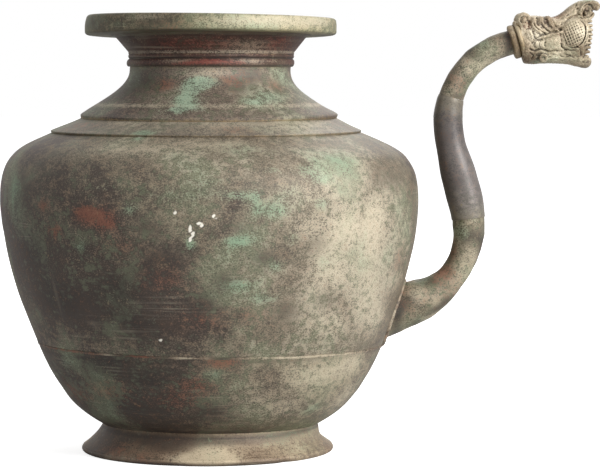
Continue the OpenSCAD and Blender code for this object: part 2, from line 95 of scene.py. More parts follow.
# The hand-raised pot is a little uneven: what it is off by, in millimetres.
uneven = {
    "towardsSpout": [(0, -0.9), (4, -1.4), (8, -2.0), (16, 1.2), (26, 1.9), (36, 1.4), (45, 0.8), (60, 0.5),
                     (75, 0.1), (110, 0), (130, 0.4), (165, 0.4), (176, -0.5), (186, -2.1), (194, -2.9),
                     (202, -0.4), (206, -1.6), (214, -1.0), (228, 0.7), (238, 1.4), (250, 1.0), (262, 1.0)],
    "awayFromSpout": [(0, 1.6), (5, 1.2), (16, 0.5), (30, 0.9), (40, 0), (60, -0.3), (90, -0.8), (127, -1.0),
                      (140, -0.5), (150, -0.1), (176, 0.3), (186, 1.2), (192, 0.9), (198, -0.7), (206, -0.4),
                      (228, -0.5), (238, -1.3), (262, -1.1)],
    "tiltAlong": [(0, 0), (20, -0.004), (64, -0.012), (100, 0), (190, 0), (228, -0.002), (249, 0.001),
                  (260, -0.014)],
    "tiltAcross": [(0, 0), (8, -0.008), (16, -0.022), (30, -0.008), (50, 0), (64, -0.01), (100, 0), (150, 0),
                   (189, 0.0093), (202, 0.017), (215, 0.01), (228, 0), (249, -0.024), (260, -0.012)],
    "drop": [(240, 0), (249, -0.3), (260, -0.8)],
    "dents": [((96, -80, 143), (15, 15, 27), 1.9), ((104, -66, 120), (8, 8, 16), 0.6),
              ((-70, 98, 128), (20, 20, 30), 1.3), ((-112, 20, 112), (14, 22, 24), 0.8),
              ((30, 116, 96), (18, 12, 16), 0.9), ((-75, -8, 260), (8, 28, 3.6), 1.2),
              ((75, 10, 260), (6, 22, 3), 0.5), ((47, -59, 0.5), (5, 4, 3.4), 1.5),
              ((-20, -73, 1), (9, 4, 2.4), 0.6), ((-52, 53, 1), (7, 5, 3), 0.9)],
}


def settle(bm):
    for v in bm.verts:
        x, y, z = v.co / mm
        r = math.hypot(x, y)
        if r < 0.01:
            continue
        c, s = x / r, y / r
        fade = min(1, r / 40)
        off = c * c * (between(uneven["towardsSpout"], z) if c > 0 else between(uneven["awayFromSpout"], z))
        off += 0.45 * s * s * noise.noise(Vector((c * 1.3 + 4, s * 1.3, z * 0.016)))
        off += 0.22 * noise.noise(Vector((x, y, z)) * 0.045) * min(1, z / 30)
        for place, reach, depth in uneven["dents"]:
            far = sum(((p - q) / w) ** 2 for p, q, w in zip((x, y, z), place, reach))
            if far < 6:
                off -= depth * math.exp(-far * 1.1)
        off *= fade
        lift = (between(uneven["tiltAlong"], z) * x + between(uneven["tiltAcross"], z) * y
                + between(uneven["drop"], z))
        v.co = Vector((c * (r + off), s * (r + off), z + lift)) * mm


def finishPiece(name, bm, nodes, material, smoothAngle=40):
    bmesh.ops.remove_doubles(bm, verts=bm.verts, dist=1e-6)
    bmesh.ops.dissolve_degenerate(bm, edges=bm.edges, dist=1e-7)
    bmesh.ops.recalc_face_normals(bm, faces=bm.faces)
    for f in bm.faces:
        f.smooth = True
    limit = math.radians(smoothAngle)
    for e in bm.edges:
        e.smooth = len(e.link_faces) == 2 and e.calc_face_angle(0) < limit
    mesh = bpy.data.meshes.new(name)
    bm.to_mesh(mesh)
    bm.free()
    piece = bpy.data.objects.new(name, mesh)
    bpy.context.scene.collection.objects.link(piece)
    mesh.materials.append(material)
    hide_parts(*nodes)
    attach(piece, "root")
    print("made", name, len(mesh.polygons))
    return piece


def turned(loop, steps=256):
    bm = bmesh.new()
    verts = [bm.verts.new((p[0] * mm, 0, p[1] * mm)) for p in loop]
    edges = [bm.edges.new(pair) for pair in zip(verts, verts[1:] + verts[:1])]
    bmesh.ops.spin(bm, geom=verts + edges, cent=(0, 0, 0), axis=(0, 0, 1), angle=math.tau,
                   steps=steps, use_merge=True)
    bmesh.ops.remove_doubles(bm, verts=bm.verts, dist=1e-6)
    return bm


# A piece turned from its closed outline, settled as the old pot has settled, and finished.
def turnedPiece(name, loop, node, material, steps=256, rough=None):
    bm = turned(loop, steps)
    settle(bm)
    if rough:
        roughen(bm, *rough)
    return finishPiece(name, bm, [node], material)


# A modelled solid as an object of its own, for modifiers to work on.
def asObject(name, bm):
    bmesh.ops.recalc_face_normals(bm, faces=bm.faces)
    mesh = bpy.data.meshes.new(name)
    bm.to_mesh(mesh)
    bm.free()
    obj = bpy.data.objects.new(name, mesh)
    bpy.context.scene.collection.objects.link(obj)
    return obj


# Puts modifiers on an object and gives their result as a new bmesh.
def shaped(obj, steps):
    for kind, settings in steps:
        modifier = obj.modifiers.new(kind, kind)
        for key, value in settings.items():
            setattr(modifier, key, value)
    result = bpy.data.meshes.new_from_object(obj.evaluated_get(bpy.context.evaluated_depsgraph_get()))
    bm = bmesh.new()
    bm.from_mesh(result)
    bpy.data.meshes.remove(result)
    bpy.data.objects.remove(obj)
    return bm


def drilledBy(cutter):
    return "BOOLEAN", {"operation": "DIFFERENCE", "solver": "MANIFOLD", "object": cutter}


def roughen(bm, size, depth):
    bm.normal_update()
    for v in bm.verts:
        v.co += v.normal * depth * mm * noise.noise(v.co / (size * mm))


# Shallow dishes with soft ridges between them, as a hammer leaves.
def hammer(bm, size, depth):
    bm.normal_update()
    for v in bm.verts:
        near = noise.voronoi(v.co / (size * mm))[0]
        v.co += v.normal * depth * mm * (min(near[0], 0.8) ** 2 * 1.6 - 0.5)


# Paint: soft amounts kept on the mesh, which the patina breaks up. The shade layer is painted light and shade as well
# as real tone, and the darkening layer holds painted shade under overhangs and on the unlit left as well as dark
# patina.
paintLayers = ["shade", "soot", "buff", "verdigris", "copper", "worn", "fleck"]


def meshArrays(mesh):
    spots = np.empty(len(mesh.vertices) * 3)
    mesh.vertices.foreach_get("co", spots)
    outwards = np.empty(len(mesh.vertices) * 3)
    mesh.vertices.foreach_get("normal", outwards)
    return spots.reshape(-1, 3) / mm, outwards.reshape(-1, 3)


# How far each point stands out from its smoothed surroundings: edges are positive, corners negative.
def relief(mesh, rounds):
    spots, outwards = meshArrays(mesh)
    ends = np.empty(len(mesh.edges) * 2, dtype=np.int64)
    mesh.edges.foreach_get("vertices", ends)
    ends = ends.reshape(-1, 2)
    count = np.maximum(np.bincount(ends.ravel(), minlength=len(spots)), 1)[:, None]
    eased = spots.copy()
    for _ in range(rounds):
        total = np.stack([np.bincount(ends[:, 0], eased[ends[:, 1], k], len(spots))
                          + np.bincount(ends[:, 1], eased[ends[:, 0], k], len(spots)) for k in range(3)], 1)
        eased = 0.4 * eased + 0.6 * total / count
    return ((spots - eased) * outwards).sum(1)


def paint(piece, spots, wide=None, edgesAndHollows=None, rounds=6):
    mesh = piece.data
    wide = wide or {}
    points, _ = meshArrays(mesh)
    angle = np.degrees(np.arctan2(points[:, 1], points[:, 0]))
    r = np.hypot(points[:, 0], points[:, 1])
    stand = relief(mesh, rounds) if edgesAndHollows else None
    for k, layer in enumerate(paintLayers):
        amount = np.full(len(points), 0.5 if layer == "shade" else 0.0)
        if layer in wide:
            level, spread, scale = wide[layer]
            shift = Vector((7 * k, 3, 11))
            amount += level + spread * np.array([noise.noise(Vector(p) * scale + shift) for p in points])
        for at, height, reachRound, reachUp, much in spots.get(layer, []):
            turn = (angle - at + 180) % 360 - 180 if at is not None else 0 * angle
            far = (np.radians(turn) * r / reachRound) ** 2 + ((points[:, 2] - height) / reachUp) ** 2
            amount += much * np.exp(-far * 1.2)
        # Raised edges take more of the worn amount and hollows more of the darkening amount, by how far they stand
        # out or sink in.
        if edgesAndHollows and layer == "worn":
            amount += np.clip(stand * edgesAndHollows[0], 0, 1)
        if edgesAndHollows and layer == "soot":
            amount += np.clip(-stand * edgesAndHollows[1], 0, 1)
        attribute = mesh.attributes.new(layer, "FLOAT", "POINT")
        attribute.data.foreach_set("value", np.clip(amount, 0, 1))


def newGroup(name, takes, gives):
    group = bpy.data.node_groups.new(name, "ShaderNodeTree")
    for label, kind, value in takes:
        socket = group.interface.new_socket(label, in_out="INPUT", socket_type=kind)
        if value is not None:
            socket.default_value = value
    for label, kind in gives:
        group.interface.new_socket(label, in_out="OUTPUT", socket_type=kind)
    return group, group.nodes.new("NodeGroupInput"), group.nodes.new("NodeGroupOutput")


def wire(tree, kind, settings=None, **plugs):
    node = tree.nodes.new(kind)
    for key, value in (settings or {}).items():
        setattr(node, key, value)
    for key, value in plugs.items():
        socket = node.inputs[int(key[1:]) if key[1:].isdigit() else key.replace("_", " ")]
        if isinstance(value, bpy.types.NodeSocket):
            tree.links.new(value, socket)
        else:
            socket.default_value = value
    return node


def calc(tree, operation, a, b=0.0, c=0.0):
    return wire(tree, "ShaderNodeMath", {"operation": operation}, i0=a, i1=b, i2=c).outputs[0]


def blendColour(tree, amount, a, b):
    node = wire(tree, "ShaderNodeMix", {"data_type": "RGBA"})
    for index, value in ((0, amount), (6, a), (7, b)):
        if isinstance(value, bpy.types.NodeSocket):
            tree.links.new(value, node.inputs[index])
        else:
            node.inputs[index].default_value = value
    return node.outputs[2]


def ramp(tree, value, low, high, toLow=0.0, toHigh=1.0, smooth=True):
    return wire(tree, "ShaderNodeMapRange", {"interpolation_type": "SMOOTHSTEP" if smooth else "LINEAR"},
                i0=value, i1=low, i2=high, i3=toLow, i4=toHigh).outputs[0]


# Mottling at three sizes: broad clouds, blotches of a few millimetres and fine grain.
mottling, gin, gout = newGroup(
    "mottling",
    [("Vector", "NodeSocketVector", None), ("Cloud Size", "NodeSocketFloat", 30.0),
     ("Blotch Size", "NodeSocketFloat", 180.0), ("Grain Size", "NodeSocketFloat", 900.0),
     ("Streak", "NodeSocketFloat", 1.5)],
    [("Clouds", "NodeSocketFloat"), ("Blotches", "NodeSocketFloat"), ("Grain", "NodeSocketFloat")])
streaked = wire(mottling, "ShaderNodeVectorMath", {"operation": "MULTIPLY"}, i0=gin.outputs["Vector"])
stretch = wire(mottling, "ShaderNodeCombineXYZ", i0=1.0, i1=1.0, i2=gin.outputs["Streak"])
mottling.links.new(stretch.outputs[0], streaked.inputs[1])
for label, detail, rough, vector in (("Cloud", 4.0, 0.6, gin.outputs["Vector"]),
                                     ("Blotch", 5.0, 0.65, streaked.outputs[0]),
                                     ("Grain", 3.0, 0.6, streaked.outputs[0])):
    n = wire(mottling, "ShaderNodeTexNoise", Vector=vector, Scale=gin.outputs[label + " Size"],
             Detail=detail, Roughness=rough, Distortion=0.35 if label == "Cloud" else 0.0)
    mottling.links.new(n.outputs[0], gout.inputs[{"Cloud": "Clouds", "Blotch": "Blotches", "Grain": "Grain"}[label]])

# A painted amount with a ragged edge: the noise eats into it where it is thin.
raggedEdge, gin, gout = newGroup(
    "ragged edge",
    [("Paint", "NodeSocketFloat", 0.0), ("Noise", "NodeSocketFloat", 0.5), ("Ragged", "NodeSocketFloat", 1.2),
     ("Level", "NodeSocketFloat", 0.5), ("Soft", "NodeSocketFloat", 0.15)],
    [("Mask", "NodeSocketFloat")])
shifted = calc(raggedEdge, "MULTIPLY_ADD", calc(raggedEdge, "SUBTRACT", gin.outputs["Noise"], 0.5),
               gin.outputs["Ragged"], gin.outputs["Paint"])
low = calc(raggedEdge, "SUBTRACT", gin.outputs["Level"], gin.outputs["Soft"])
high = calc(raggedEdge, "ADD", gin.outputs["Level"], gin.outputs["Soft"])
raggedEdge.links.new(ramp(raggedEdge, shifted, low, high), gout.inputs[0])

# Fine scratches left by turning or scouring: rings round the Z axis that come and go.
turnedLines, gin, gout = newGroup(
    "turned lines",
    [("Vector", "NodeSocketVector", None), ("Pitch", "NodeSocketFloat", 900.0), ("Cover", "NodeSocketFloat", 0.5)],
    [("Lines", "NodeSocketFloat")])
squeeze = wire(turnedLines, "ShaderNodeMapping", {"vector_type": "POINT"}, Vector=gin.outputs["Vector"],
               Scale=(0.02, 0.02, 1.0))
rings = wire(turnedLines, "ShaderNodeTexNoise", Vector=squeeze.outputs[0], Scale=gin.outputs["Pitch"],
             Detail=2.0, Roughness=0.6)
patch = wire(turnedLines, "ShaderNodeTexNoise", Vector=gin.outputs["Vector"], Scale=38.0, Detail=3.0)
shown = ramp(turnedLines, patch.outputs[0], calc(turnedLines, "SUBTRACT", 0.72, gin.outputs["Cover"]), 0.75)
turnedLines.links.new(calc(turnedLines, "MULTIPLY", ramp(turnedLines, rings.outputs[0], 0.5, 0.68), shown),
                      gout.inputs[0])

# Corrosion pits, in clusters.
pitting, gin, gout = newGroup(
    "pitting",
    [("Vector", "NodeSocketVector", None), ("Size", "NodeSocketFloat", 420.0), ("Share", "NodeSocketFloat", 0.4)],
    [("Pits", "NodeSocketFloat")])
cells = wire(pitting, "ShaderNodeTexVoronoi", {"feature": "F1"}, Vector=gin.outputs["Vector"],
             Scale=gin.outputs["Size"], Randomness=1.0)
dots = ramp(pitting, cells.outputs["Distance"], 0.34, 0.1)
cluster = wire(pitting, "ShaderNodeTexNoise", Vector=gin.outputs["Vector"], Scale=55.0, Detail=3.0)
where = ramp(pitting, cluster.outputs[0], calc(pitting, "SUBTRACT", 0.95, gin.outputs["Share"]),
             calc(pitting, "SUBTRACT", 1.1, gin.outputs["Share"]))
pitting.links.new(calc(pitting, "MULTIPLY", dots, where), gout.inputs[0])
print("shader groups made")


def colour(text):
    parts = [int(text[i:i + 2], 16) / 255 for i in (0, 2, 4)]
    return tuple([p / 12.92 if p <= 0.04045 else ((p + 0.055) / 1.055) ** 2.4 for p in parts] + [1])


plainPatina = {
    "dark": "453c33", "middle": "716857", "light": "b1a792", "soot": "2c2622", "buff": "cfc3aa",
    "verdigris": "8cad8f", "copper": "84503d", "bare": "94825f",
    "umber": "5b4638", "sage": "6f765c", "fleck": "e6e1d4", "green": 0.62,
    "clouds": 26.0, "blotches": 230.0, "grain": 1150.0, "streak": 1.25, "lines": 0.22, "pits": 0.4, "grit": 0.5,
    "roughness": (0.5, 0.72), "metal": 0.2, "bump": 0.5,
}


def patina(name, **changes):
    look = {**plainPatina, **changes}
    material = bpy.data.materials.new(name)
    material.use_nodes = True
    tree = material.node_tree
    shader = next(n for n in tree.nodes if n.type == "BSDF_PRINCIPLED")
    place = wire(tree, "ShaderNodeTexCoord").outputs["Object"]
    mottle = wire(tree, "ShaderNodeGroup", {"node_tree": mottling}, Vector=place, Cloud_Size=look["clouds"],
                  Blotch_Size=look["blotches"], Grain_Size=look["grain"], Streak=look["streak"])
    clouds, blotches, grain = mottle.outputs
    tone = calc(tree, "MULTIPLY_ADD", blotches, 0.55, calc(tree, "MULTIPLY", clouds, 0.45))
    # The shade amount moves the tone lighter or darker: painted light on the side the key lamp falls on and painted
    # shade on the unlit side, as well as real differences of tone.
    shade = wire(tree, "ShaderNodeAttribute", {"attribute_name": "shade"}).outputs["Fac"]
    shift = calc(tree, "MULTIPLY", calc(tree, "SUBTRACT", shade, 0.5), 0.5)
    speckle = calc(tree, "MULTIPLY_ADD", grain, 0.6, calc(tree, "MULTIPLY", blotches, 0.4))
    toned = calc(tree, "MULTIPLY_ADD", tone, 1.15, -0.25)
    mixed = calc(tree, "ADD", calc(tree, "MULTIPLY_ADD", speckle, 0.35, toned), shift)
    base = blendColour(tree, ramp(tree, mixed, 0.32, 0.56), colour(look["dark"]), colour(look["middle"]))
    base = blendColour(tree, ramp(tree, mixed, 0.54, 0.78), base, colour(look["light"]))
    hue = calc(tree, "MULTIPLY_ADD", blotches, 0.5, calc(tree, "MULTIPLY_ADD", clouds, -0.5, 0.5))
    base = blendColour(tree, ramp(tree, hue, 0.52, 0.62, 0.0, 0.32), base, colour(look["umber"]))
    base = blendColour(tree, ramp(tree, hue, 0.51, 0.42, 0.0, 0.5), base, colour(look["sage"]))
    base = blendColour(tree, ramp(tree, grain, 0.49, 0.37, 0.0, look["grit"]), base, colour(look["soot"]))
    flecks = calc(tree, "MULTIPLY", ramp(tree, grain, 0.54, 0.68, 0.0, look["grit"]),
                  ramp(tree, mixed, 0.35, 0.6, 0.2, 1.0))
    base = blendColour(tree, flecks, base, colour(look["light"]))

    def painted(layer, noiseSocket, ragged, level, soft):
        amount = wire(tree, "ShaderNodeAttribute", {"attribute_name": layer}).outputs["Fac"]
        return wire(tree, "ShaderNodeGroup", {"node_tree": raggedEdge}, Paint=amount, Noise=noiseSocket,
                    Ragged=ragged, Level=level, Soft=soft).outputs[0]

    broken = calc(tree, "MULTIPLY_ADD", clouds, 0.35, calc(tree, "MULTIPLY", speckle, 0.65))
    buff = painted("buff", speckle, 3.2, 0.6, 0.6)
    soot = painted("soot", speckle, 3.0, 0.5, 0.4)
    green = painted("verdigris", broken, 7.5, 0.8, 0.5)
    copper = painted("copper", speckle, 5.0, 0.65, 0.45)
    worn = painted("worn", speckle, 3.5, 0.6, 0.35)
    base = blendColour(tree, calc(tree, "MULTIPLY", buff, 0.8), base, colour(look["buff"]))
    # The darkening paint: dark patina, and painted shade under overhangs and on the unlit left.
    base = blendColour(tree, calc(tree, "MULTIPLY", soot, 0.85), base, colour(look["soot"]))
    base = blendColour(tree, calc(tree, "MULTIPLY", green, look["green"]), base, colour(look["verdigris"]))
    base = blendColour(tree, calc(tree, "MULTIPLY", copper, 0.72), base, colour(look["copper"]))
    pits = wire(tree, "ShaderNodeGroup", {"node_tree": pitting}, Vector=place, Share=look["pits"]).outputs[0]
    base = blendColour(tree, calc(tree, "MULTIPLY", pits, 0.65), base, colour(look["soot"]))
    lines = wire(tree, "ShaderNodeGroup", {"node_tree": turnedLines}, Vector=place, Cover=look["lines"]).outputs[0]
    base = blendColour(tree, calc(tree, "MULTIPLY", lines, 0.2), base, colour(look["buff"]))
    base = blendColour(tree, calc(tree, "MULTIPLY", worn, 0.5), base, colour(look["bare"]))
    if look.get("flecked"):
        fleck = wire(tree, "ShaderNodeAttribute", {"attribute_name": "fleck"}).outputs["Fac"]
        base = blendColour(tree, ramp(tree, fleck, 0.3, 0.6), base, colour(look["fleck"]))
    tree.links.new(base, shader.inputs["Base Color"])
    smooth, rough = look["roughness"]
    tree.links.new(ramp(tree, speckle, 0.3, 0.7, smooth, rough), shader.inputs["Roughness"])
    tree.links.new(calc(tree, "MULTIPLY_ADD", worn, 0.45, look["metal"]), shader.inputs["Metallic"])
    height = calc(tree, "MULTIPLY_ADD", grain, 0.35, calc(tree, "MULTIPLY", blotches, 0.8))
    height = calc(tree, "SUBTRACT", height, calc(tree, "MULTIPLY", pits, 0.5))
    height = calc(tree, "MULTIPLY_ADD", lines, 0.25, height)
    bump = wire(tree, "ShaderNodeBump", Strength=look["bump"], Distance=0.0004, Height=height)
    tree.links.new(bump.outputs[0], shader.inputs["Normal"])
    return material


bodyPatina = patina("body patina", dark="403630", flecked=True)
bowlPatina = patina("bowl patina", dark="3d342d", middle="685e4f", light="a0977f", lines=0.3)
collarPatina = patina("collar patina", dark="4c443c", middle="7b7265", light="b0a793")
neckPatina = patina("neck patina", dark="463a34", middle="6e6257", light="a39a86", verdigris="a6c0a5", green=0.75)
redBronze = patina("red bronze", dark="33211c", middle="4f3029", light="765048", copper="7e3a30", umber="4a2a22",
                   sage="5c5040", lines=0.4)
rimPatina = patina("rim patina", dark="4b4435", middle="767056", light="b0a785")
footPatina = patina("foot patina", dark="46392f", middle="7b6754", light="ac9a80", buff="d8c8aa",
                    sage="857a66", umber="5e4434")
brazingMetal = patina("brazing metal", dark="4d4238", middle="7d6c5b", light="bcac94", pits=0.5)
spoutPatina = patina("spout patina", dark="4b4437", middle="766d5a", light="a9a088", verdigris="93a98c",
                     lines=0.0, grit=0.6)
shaftPatina = patina("shaft patina", dark="443f3e", middle="625c59", light="847c77", buff="827a66", umber="5a4d4a",
                     sage="68645a", lines=0.0, pits=0.15, grit=0.25, roughness=(0.42, 0.55), metal=0.25, bump=0.25)
headPatina = patina("head patina", dark="75634d", middle="beae94", light="e6dcc3", soot="2f251c", umber="8f735a",
                    sage="aaa58a", lines=0.0, pits=0.15, grit=0.22, blotches=520.0)
print("materials made")

# The pot from the foot up, with its sizes in millimetres and its headings in degrees.
foot = {"height": 16, "lipRadius": 75.4, "creaseRadius": 63.2, "wall": 3.4, "lipRound": 1.8, "land": 5}
seam = {"radius": 103, "height": 64, "gap": 1.4, "wall": 2.4}
belly = {"radius": 124.8, "height": 150}
shoulder = {"radius": 96.8, "height": 189, "fall": 24, "run": 29.8}
crease = (foot["creaseRadius"], foot["height"])
floorBend = bend((0, 6), 0, crease, 28)
bowlBend = bend(crease, 28, (seam["radius"], seam["height"]), 67, 0.3, 0.42)
widest = (belly["radius"], belly["height"])
shoulderEdge = (shoulder["radius"], shoulder["height"])
bellyBend = bend((seam["radius"], seam["height"]), 67, widest, 90, 0.3, 0.36)
shoulderBend = bend(widest, 90, shoulderEdge, 180 - shoulder["fall"], 0.58, 0.4)
slope = math.tan(math.radians(shoulder["fall"]))
shoulderCone = bend(shoulderEdge, 180 - shoulder["fall"],
                    (67, shoulder["height"] + slope * shoulder["run"]), 180 - shoulder["fall"])


def shoulderLine(r):
    return shoulder["height"] + slope * (shoulder["radius"] - r)


flare = bend((foot["creaseRadius"] + 0.4, foot["height"] + 0.2), -64, (foot["lipRadius"] - 0.6, 3.4), -36, 0.4, 0.3)
landShare = 1 - foot["land"] / foot["creaseRadius"]
lip = arc((foot["lipRadius"] - foot["lipRound"], foot["lipRound"]), foot["lipRound"], 50, -90, 7)
underLip = [Vector((71.2, 0))]
insideFlare = [inset(flare, 1 - i / 14, -foot["wall"]) for i in range(0, 12)]
loop = (trace([(floorBend, landShare, 1)], -0.12) + trace([(flare, 0, 1)]) + lip + underLip + insideFlare)
footRing = turnedPiece("footRing", loop, "foot_ring", footPatina)

corner = inset(floorBend, landShare, -0.12)
back = inset(floorBend, landShare - 2.6 / foot["creaseRadius"], -0.12)
footFillet = [corner - Vector((0.12, 0)), corner + Vector((-0.3, -1.3)), corner + Vector((-0.12, -2.6)),
              (corner + back) / 2 + Vector((-0.2, -1.5)), back]
footBraze = turnedPiece("footBraze", footFillet, "foot_braze", brazingMetal)

gapShare = seam["gap"] / (bellyBend[3] - bellyBend[0]).length
bowlSpans = [(floorBend, 0, 1), (bowlBend, 0, 1)]
bowlLoop = trace(bowlSpans) + trace(bowlSpans, seam["wall"], 3)[::-1]
lowerBowl = turnedPiece("lowerBowl", bowlLoop, "lower_bowl", bowlPatina, 400)

beadSpan = [(bellyBend, 0.0004, gapShare * 0.97)]
beadLoop = trace(beadSpan, -0.3, 0.3) + trace(beadSpan, seam["wall"], 0.6)[::-1]
bellyBraze = turnedPiece("bellyBraze", beadLoop, "belly_braze", brazingMetal, 400, (4, 0.45))

bodySpans = [(bellyBend, gapShare, 1), (shoulderBend, 0, 1), (shoulderCone, 0, 1)]
bodyBm = turned(trace(bodySpans) + trace(bodySpans, seam["wall"], 4)[::-1], 480)
settle(bodyBm)
spoutHole = {"radius": 8.5, "depth": 34, "place": (111.055, 0, 84), "heading": 21.5}
drill = bmesh.new()
bmesh.ops.create_cone(drill, cap_ends=True, segments=64, radius1=spoutHole["radius"] * mm,
                      radius2=spoutHole["radius"] * mm, depth=spoutHole["depth"] * mm,
                      matrix=Matrix.Translation(Vector(spoutHole["place"]) * mm)
                      @ Matrix.Rotation(math.radians(90 - spoutHole["heading"]), 4, "Y"))
drillBit = asObject("drill", drill)
bodyBm = shaped(asObject("body", bodyBm), [drilledBy(drillBit)])
bpy.data.objects.remove(drillBit)
upperBody = finishPiece("upperBody", bodyBm, ["upper_body"], bodyPatina)

collar = {"radius": 93.2, "thick": 1.3}
start = (shoulder["radius"] - collar["radius"]) / shoulder["run"]
top = trace([(shoulderCone, start, 1)], -0.12 - collar["thick"])
under = trace([(shoulderCone, start, 1)], -0.12, 4)[::-1]
collarLoop = [under[-1], top[0].lerp(under[-1], 0.45) + Vector((0.25, 0.1))] + top + under[:-1]
shoulderCollar = turnedPiece("shoulderCollar", collarLoop, "shoulder_collar", collarPatina)

neckSizes = {"flangeRadius": 77.4, "flangeEdge": 2.6, "waist": 48, "wall": 2.6, "bore": 45.4}
collarTop = 1.54 / math.cos(math.radians(shoulder["fall"]))
flangeZ = shoulderLine(neckSizes["flangeRadius"]) + collarTop + neckSizes["flangeEdge"]
waistZ, bandZ, neckTopZ = flangeZ + 25.8, flangeZ + 27.8, flangeZ + 31.8
neckBend = bend((76.8, flangeZ), 146, (neckSizes["waist"], waistZ), 90, 0.34, 0.27)
outside = ([Vector((67.6, shoulderLine(67.6) + collarTop))]
           + straight((77.2, flangeZ - 2.5), (neckSizes["flangeRadius"], flangeZ - 0.7), 0.6)
           + trace([(neckBend, 0, 1)]) + [Vector((neckSizes["waist"], neckTopZ))])
inside = [Vector((neckSizes["bore"], neckTopZ))] + trace([(neckBend, 0.3, 1)], neckSizes["wall"], 2.5)[::-1]
neckPiece = turnedPiece("neckPiece", outside + inside, "neck", neckPatina)

mouthZ = bandZ + 7.2
band = ([Vector((48.1, bandZ))] + arc((48.6, bandZ + 2.3), 2.3, -80, 80, 12)
        + [Vector((48.75, bandZ + 4.9)), Vector((49.3, bandZ + 5.4)), Vector((49.5, bandZ + 6.4)),
           Vector((49.2, mouthZ - 0.12)), Vector((48.1, mouthZ - 0.12))])
band = [Vector((48.6 + (p.x - 48.6) * (0.62 if p.y < bandZ + 4.7 and p.x > 48.6 else 1), p.y)) for p in band]
neckBand = turnedPiece("neckBand", band, "neck_band", redBronze)

rim = {"z": mouthZ + 12, "height": 11.2, "radius": 75.2, "bore": 55.6, "seat": 2.6, "flare": 58}
lean = math.atan2(10.6, rim["flare"] - 49.4)
funnelWall = 2.6 / math.sin(lean)
flareTop = rim["flare"] + 2.48 / math.tan(lean)
outer = ([Vector((neckSizes["waist"], mouthZ)), Vector((49.2, mouthZ)), Vector((49.4, mouthZ + 0.4))]
         + straight((49.4, mouthZ + 1.4), (flareTop, rim["z"] + 2.48)))
inner = straight((flareTop - funnelWall, rim["z"] + 2.48), (49.4 - funnelWall, mouthZ + 1.4), 3) + [
    Vector((neckSizes["bore"], mouthZ)), Vector((neckSizes["bore"], neckTopZ + 0.1)),
    Vector((neckSizes["waist"], neckTopZ + 0.1))]
mouthFunnel = turnedPiece("mouthFunnel", outer + inner, "mouth_funnel", redBronze)

fillet = Vector((58.18, rim["z"] - 0.12))
down = fillet - 2 * Vector((math.cos(lean), math.sin(lean)))
rimFillet = [fillet, down, (down + fillet + Vector((2, 0))) / 2 + Vector((-0.35, 0.35)), fillet + Vector((2, 0))]
rimBraze = turnedPiece("rimBraze", rimFillet, "rim_braze", brazingMetal)

topZ = rim["z"] + rim["height"]
soft = 1.8
loop = ([Vector((58.18 + rim["seat"] / math.tan(lean), rim["z"] + rim["seat"])), Vector((58.18, rim["z"]))]
        + straight((59.5, rim["z"]), (rim["radius"] - soft - 1, rim["z"]), 2)
        + arc((rim["radius"] - soft, rim["z"] + soft), soft, -90, 0)
        + straight((rim["radius"], rim["z"] + soft + 1), (rim["radius"], topZ - soft - 1), 1.2)
        + arc((rim["radius"] - soft, topZ - soft), soft, 0, 90)
        + straight((rim["radius"] - soft - 1, topZ), (rim["bore"] + soft + 1, topZ), 1.6)
        + arc((rim["bore"] + soft, topZ - soft), soft, 90, 180)
        + straight((rim["bore"], topZ - soft - 1), (rim["bore"], rim["z"] + 3.6), 1.6))
rimRing = turnedPiece("rimRing", loop, "rim_ring", rimPatina, 288)

# The spout's legs: length and heading at the end, from the root on the belly.
course = {"legs": [(16.4, 21.5), (59.3, 95), (15.9, 105), (27.4, 105), (17.3, 92.7), (62, 16), (33.1, 16)],
          "root": (111.055, 84), "rootHeading": 21.5, "wall": 2}
legStarts, legPlaces, legHeadings = [0], [Vector(course["root"])], [course["rootHeading"]]


def alongLeg(i, u):
    run, end = course["legs"][i]
    a0 = math.radians(legHeadings[i])
    turn = math.radians(end) - a0
    if abs(turn) < 1e-4:
        return legPlaces[i] + u * Vector((math.cos(a0), math.sin(a0))), a0
    a = a0 + turn * u / run
    return legPlaces[i] + run / turn * Vector((math.sin(a) - math.sin(a0), math.cos(a0) - math.cos(a))), a


for i, (run, end) in enumerate(course["legs"]):
    legPlaces.append(alongLeg(i, run)[0])
    legStarts.append(legStarts[i] + run)
    legHeadings.append(end)


def spoutAt(s):
    i = max(0, min(6, sum(1 for start in legStarts if start <= s) - 1))
    return alongLeg(i, s - legStarts[i])


def stationMatrix(s, radius):
    place, heading = spoutAt(s)
    return (Matrix.Translation(Vector((place.x, 0, place.y)) * mm) @ Matrix.Rotation(-heading, 4, "Y")
            @ Matrix.Rotation(math.pi / 2, 4, "Y") @ Matrix.Diagonal((radius * mm, radius * mm, radius * mm, 1)))


# Extrudes a ring of edges and gives the new ring with its own edges.
def nextRing(bm, edges):
    made = bmesh.ops.extrude_edge_only(bm, edges=edges)["geom"]
    ring = [g for g in made if isinstance(g, bmesh.types.BMVert)]
    ringSet = set(ring)
    return ring, [g for g in made if isinstance(g, bmesh.types.BMEdge) and all(v in ringSet for v in g.verts)]


def swept(stations, around=72):
    bm = bmesh.new()
    ring = bmesh.ops.create_circle(bm, cap_ends=False, segments=around, radius=1)["verts"]
    edges = bm.edges[:]
    last = stationMatrix(*stations[0])
    bmesh.ops.transform(bm, matrix=last, verts=ring)
    for s, radius in stations[1:]:
        ring, edges = nextRing(bm, edges)
        here = stationMatrix(s, radius)
        bmesh.ops.transform(bm, matrix=here @ last.inverted(), verts=ring)
        last = here
    bmesh.ops.bridge_loops(bm, edges=[e for e in bm.edges if len(e.link_faces) == 1])
    return bm


def tube(table, low, high, wall, step=1.1):
    count = round((high - low) / step)
    out = [(low + (high - low) * i / count, between(table, low + (high - low) * i / count)) for i in range(count + 1)]
    slim = [(s, r - wall) for s, r in out[::4]]
    if slim[-1][0] < out[-1][0]:
        slim.append((out[-1][0], out[-1][1] - wall))
    return out + slim[::-1]


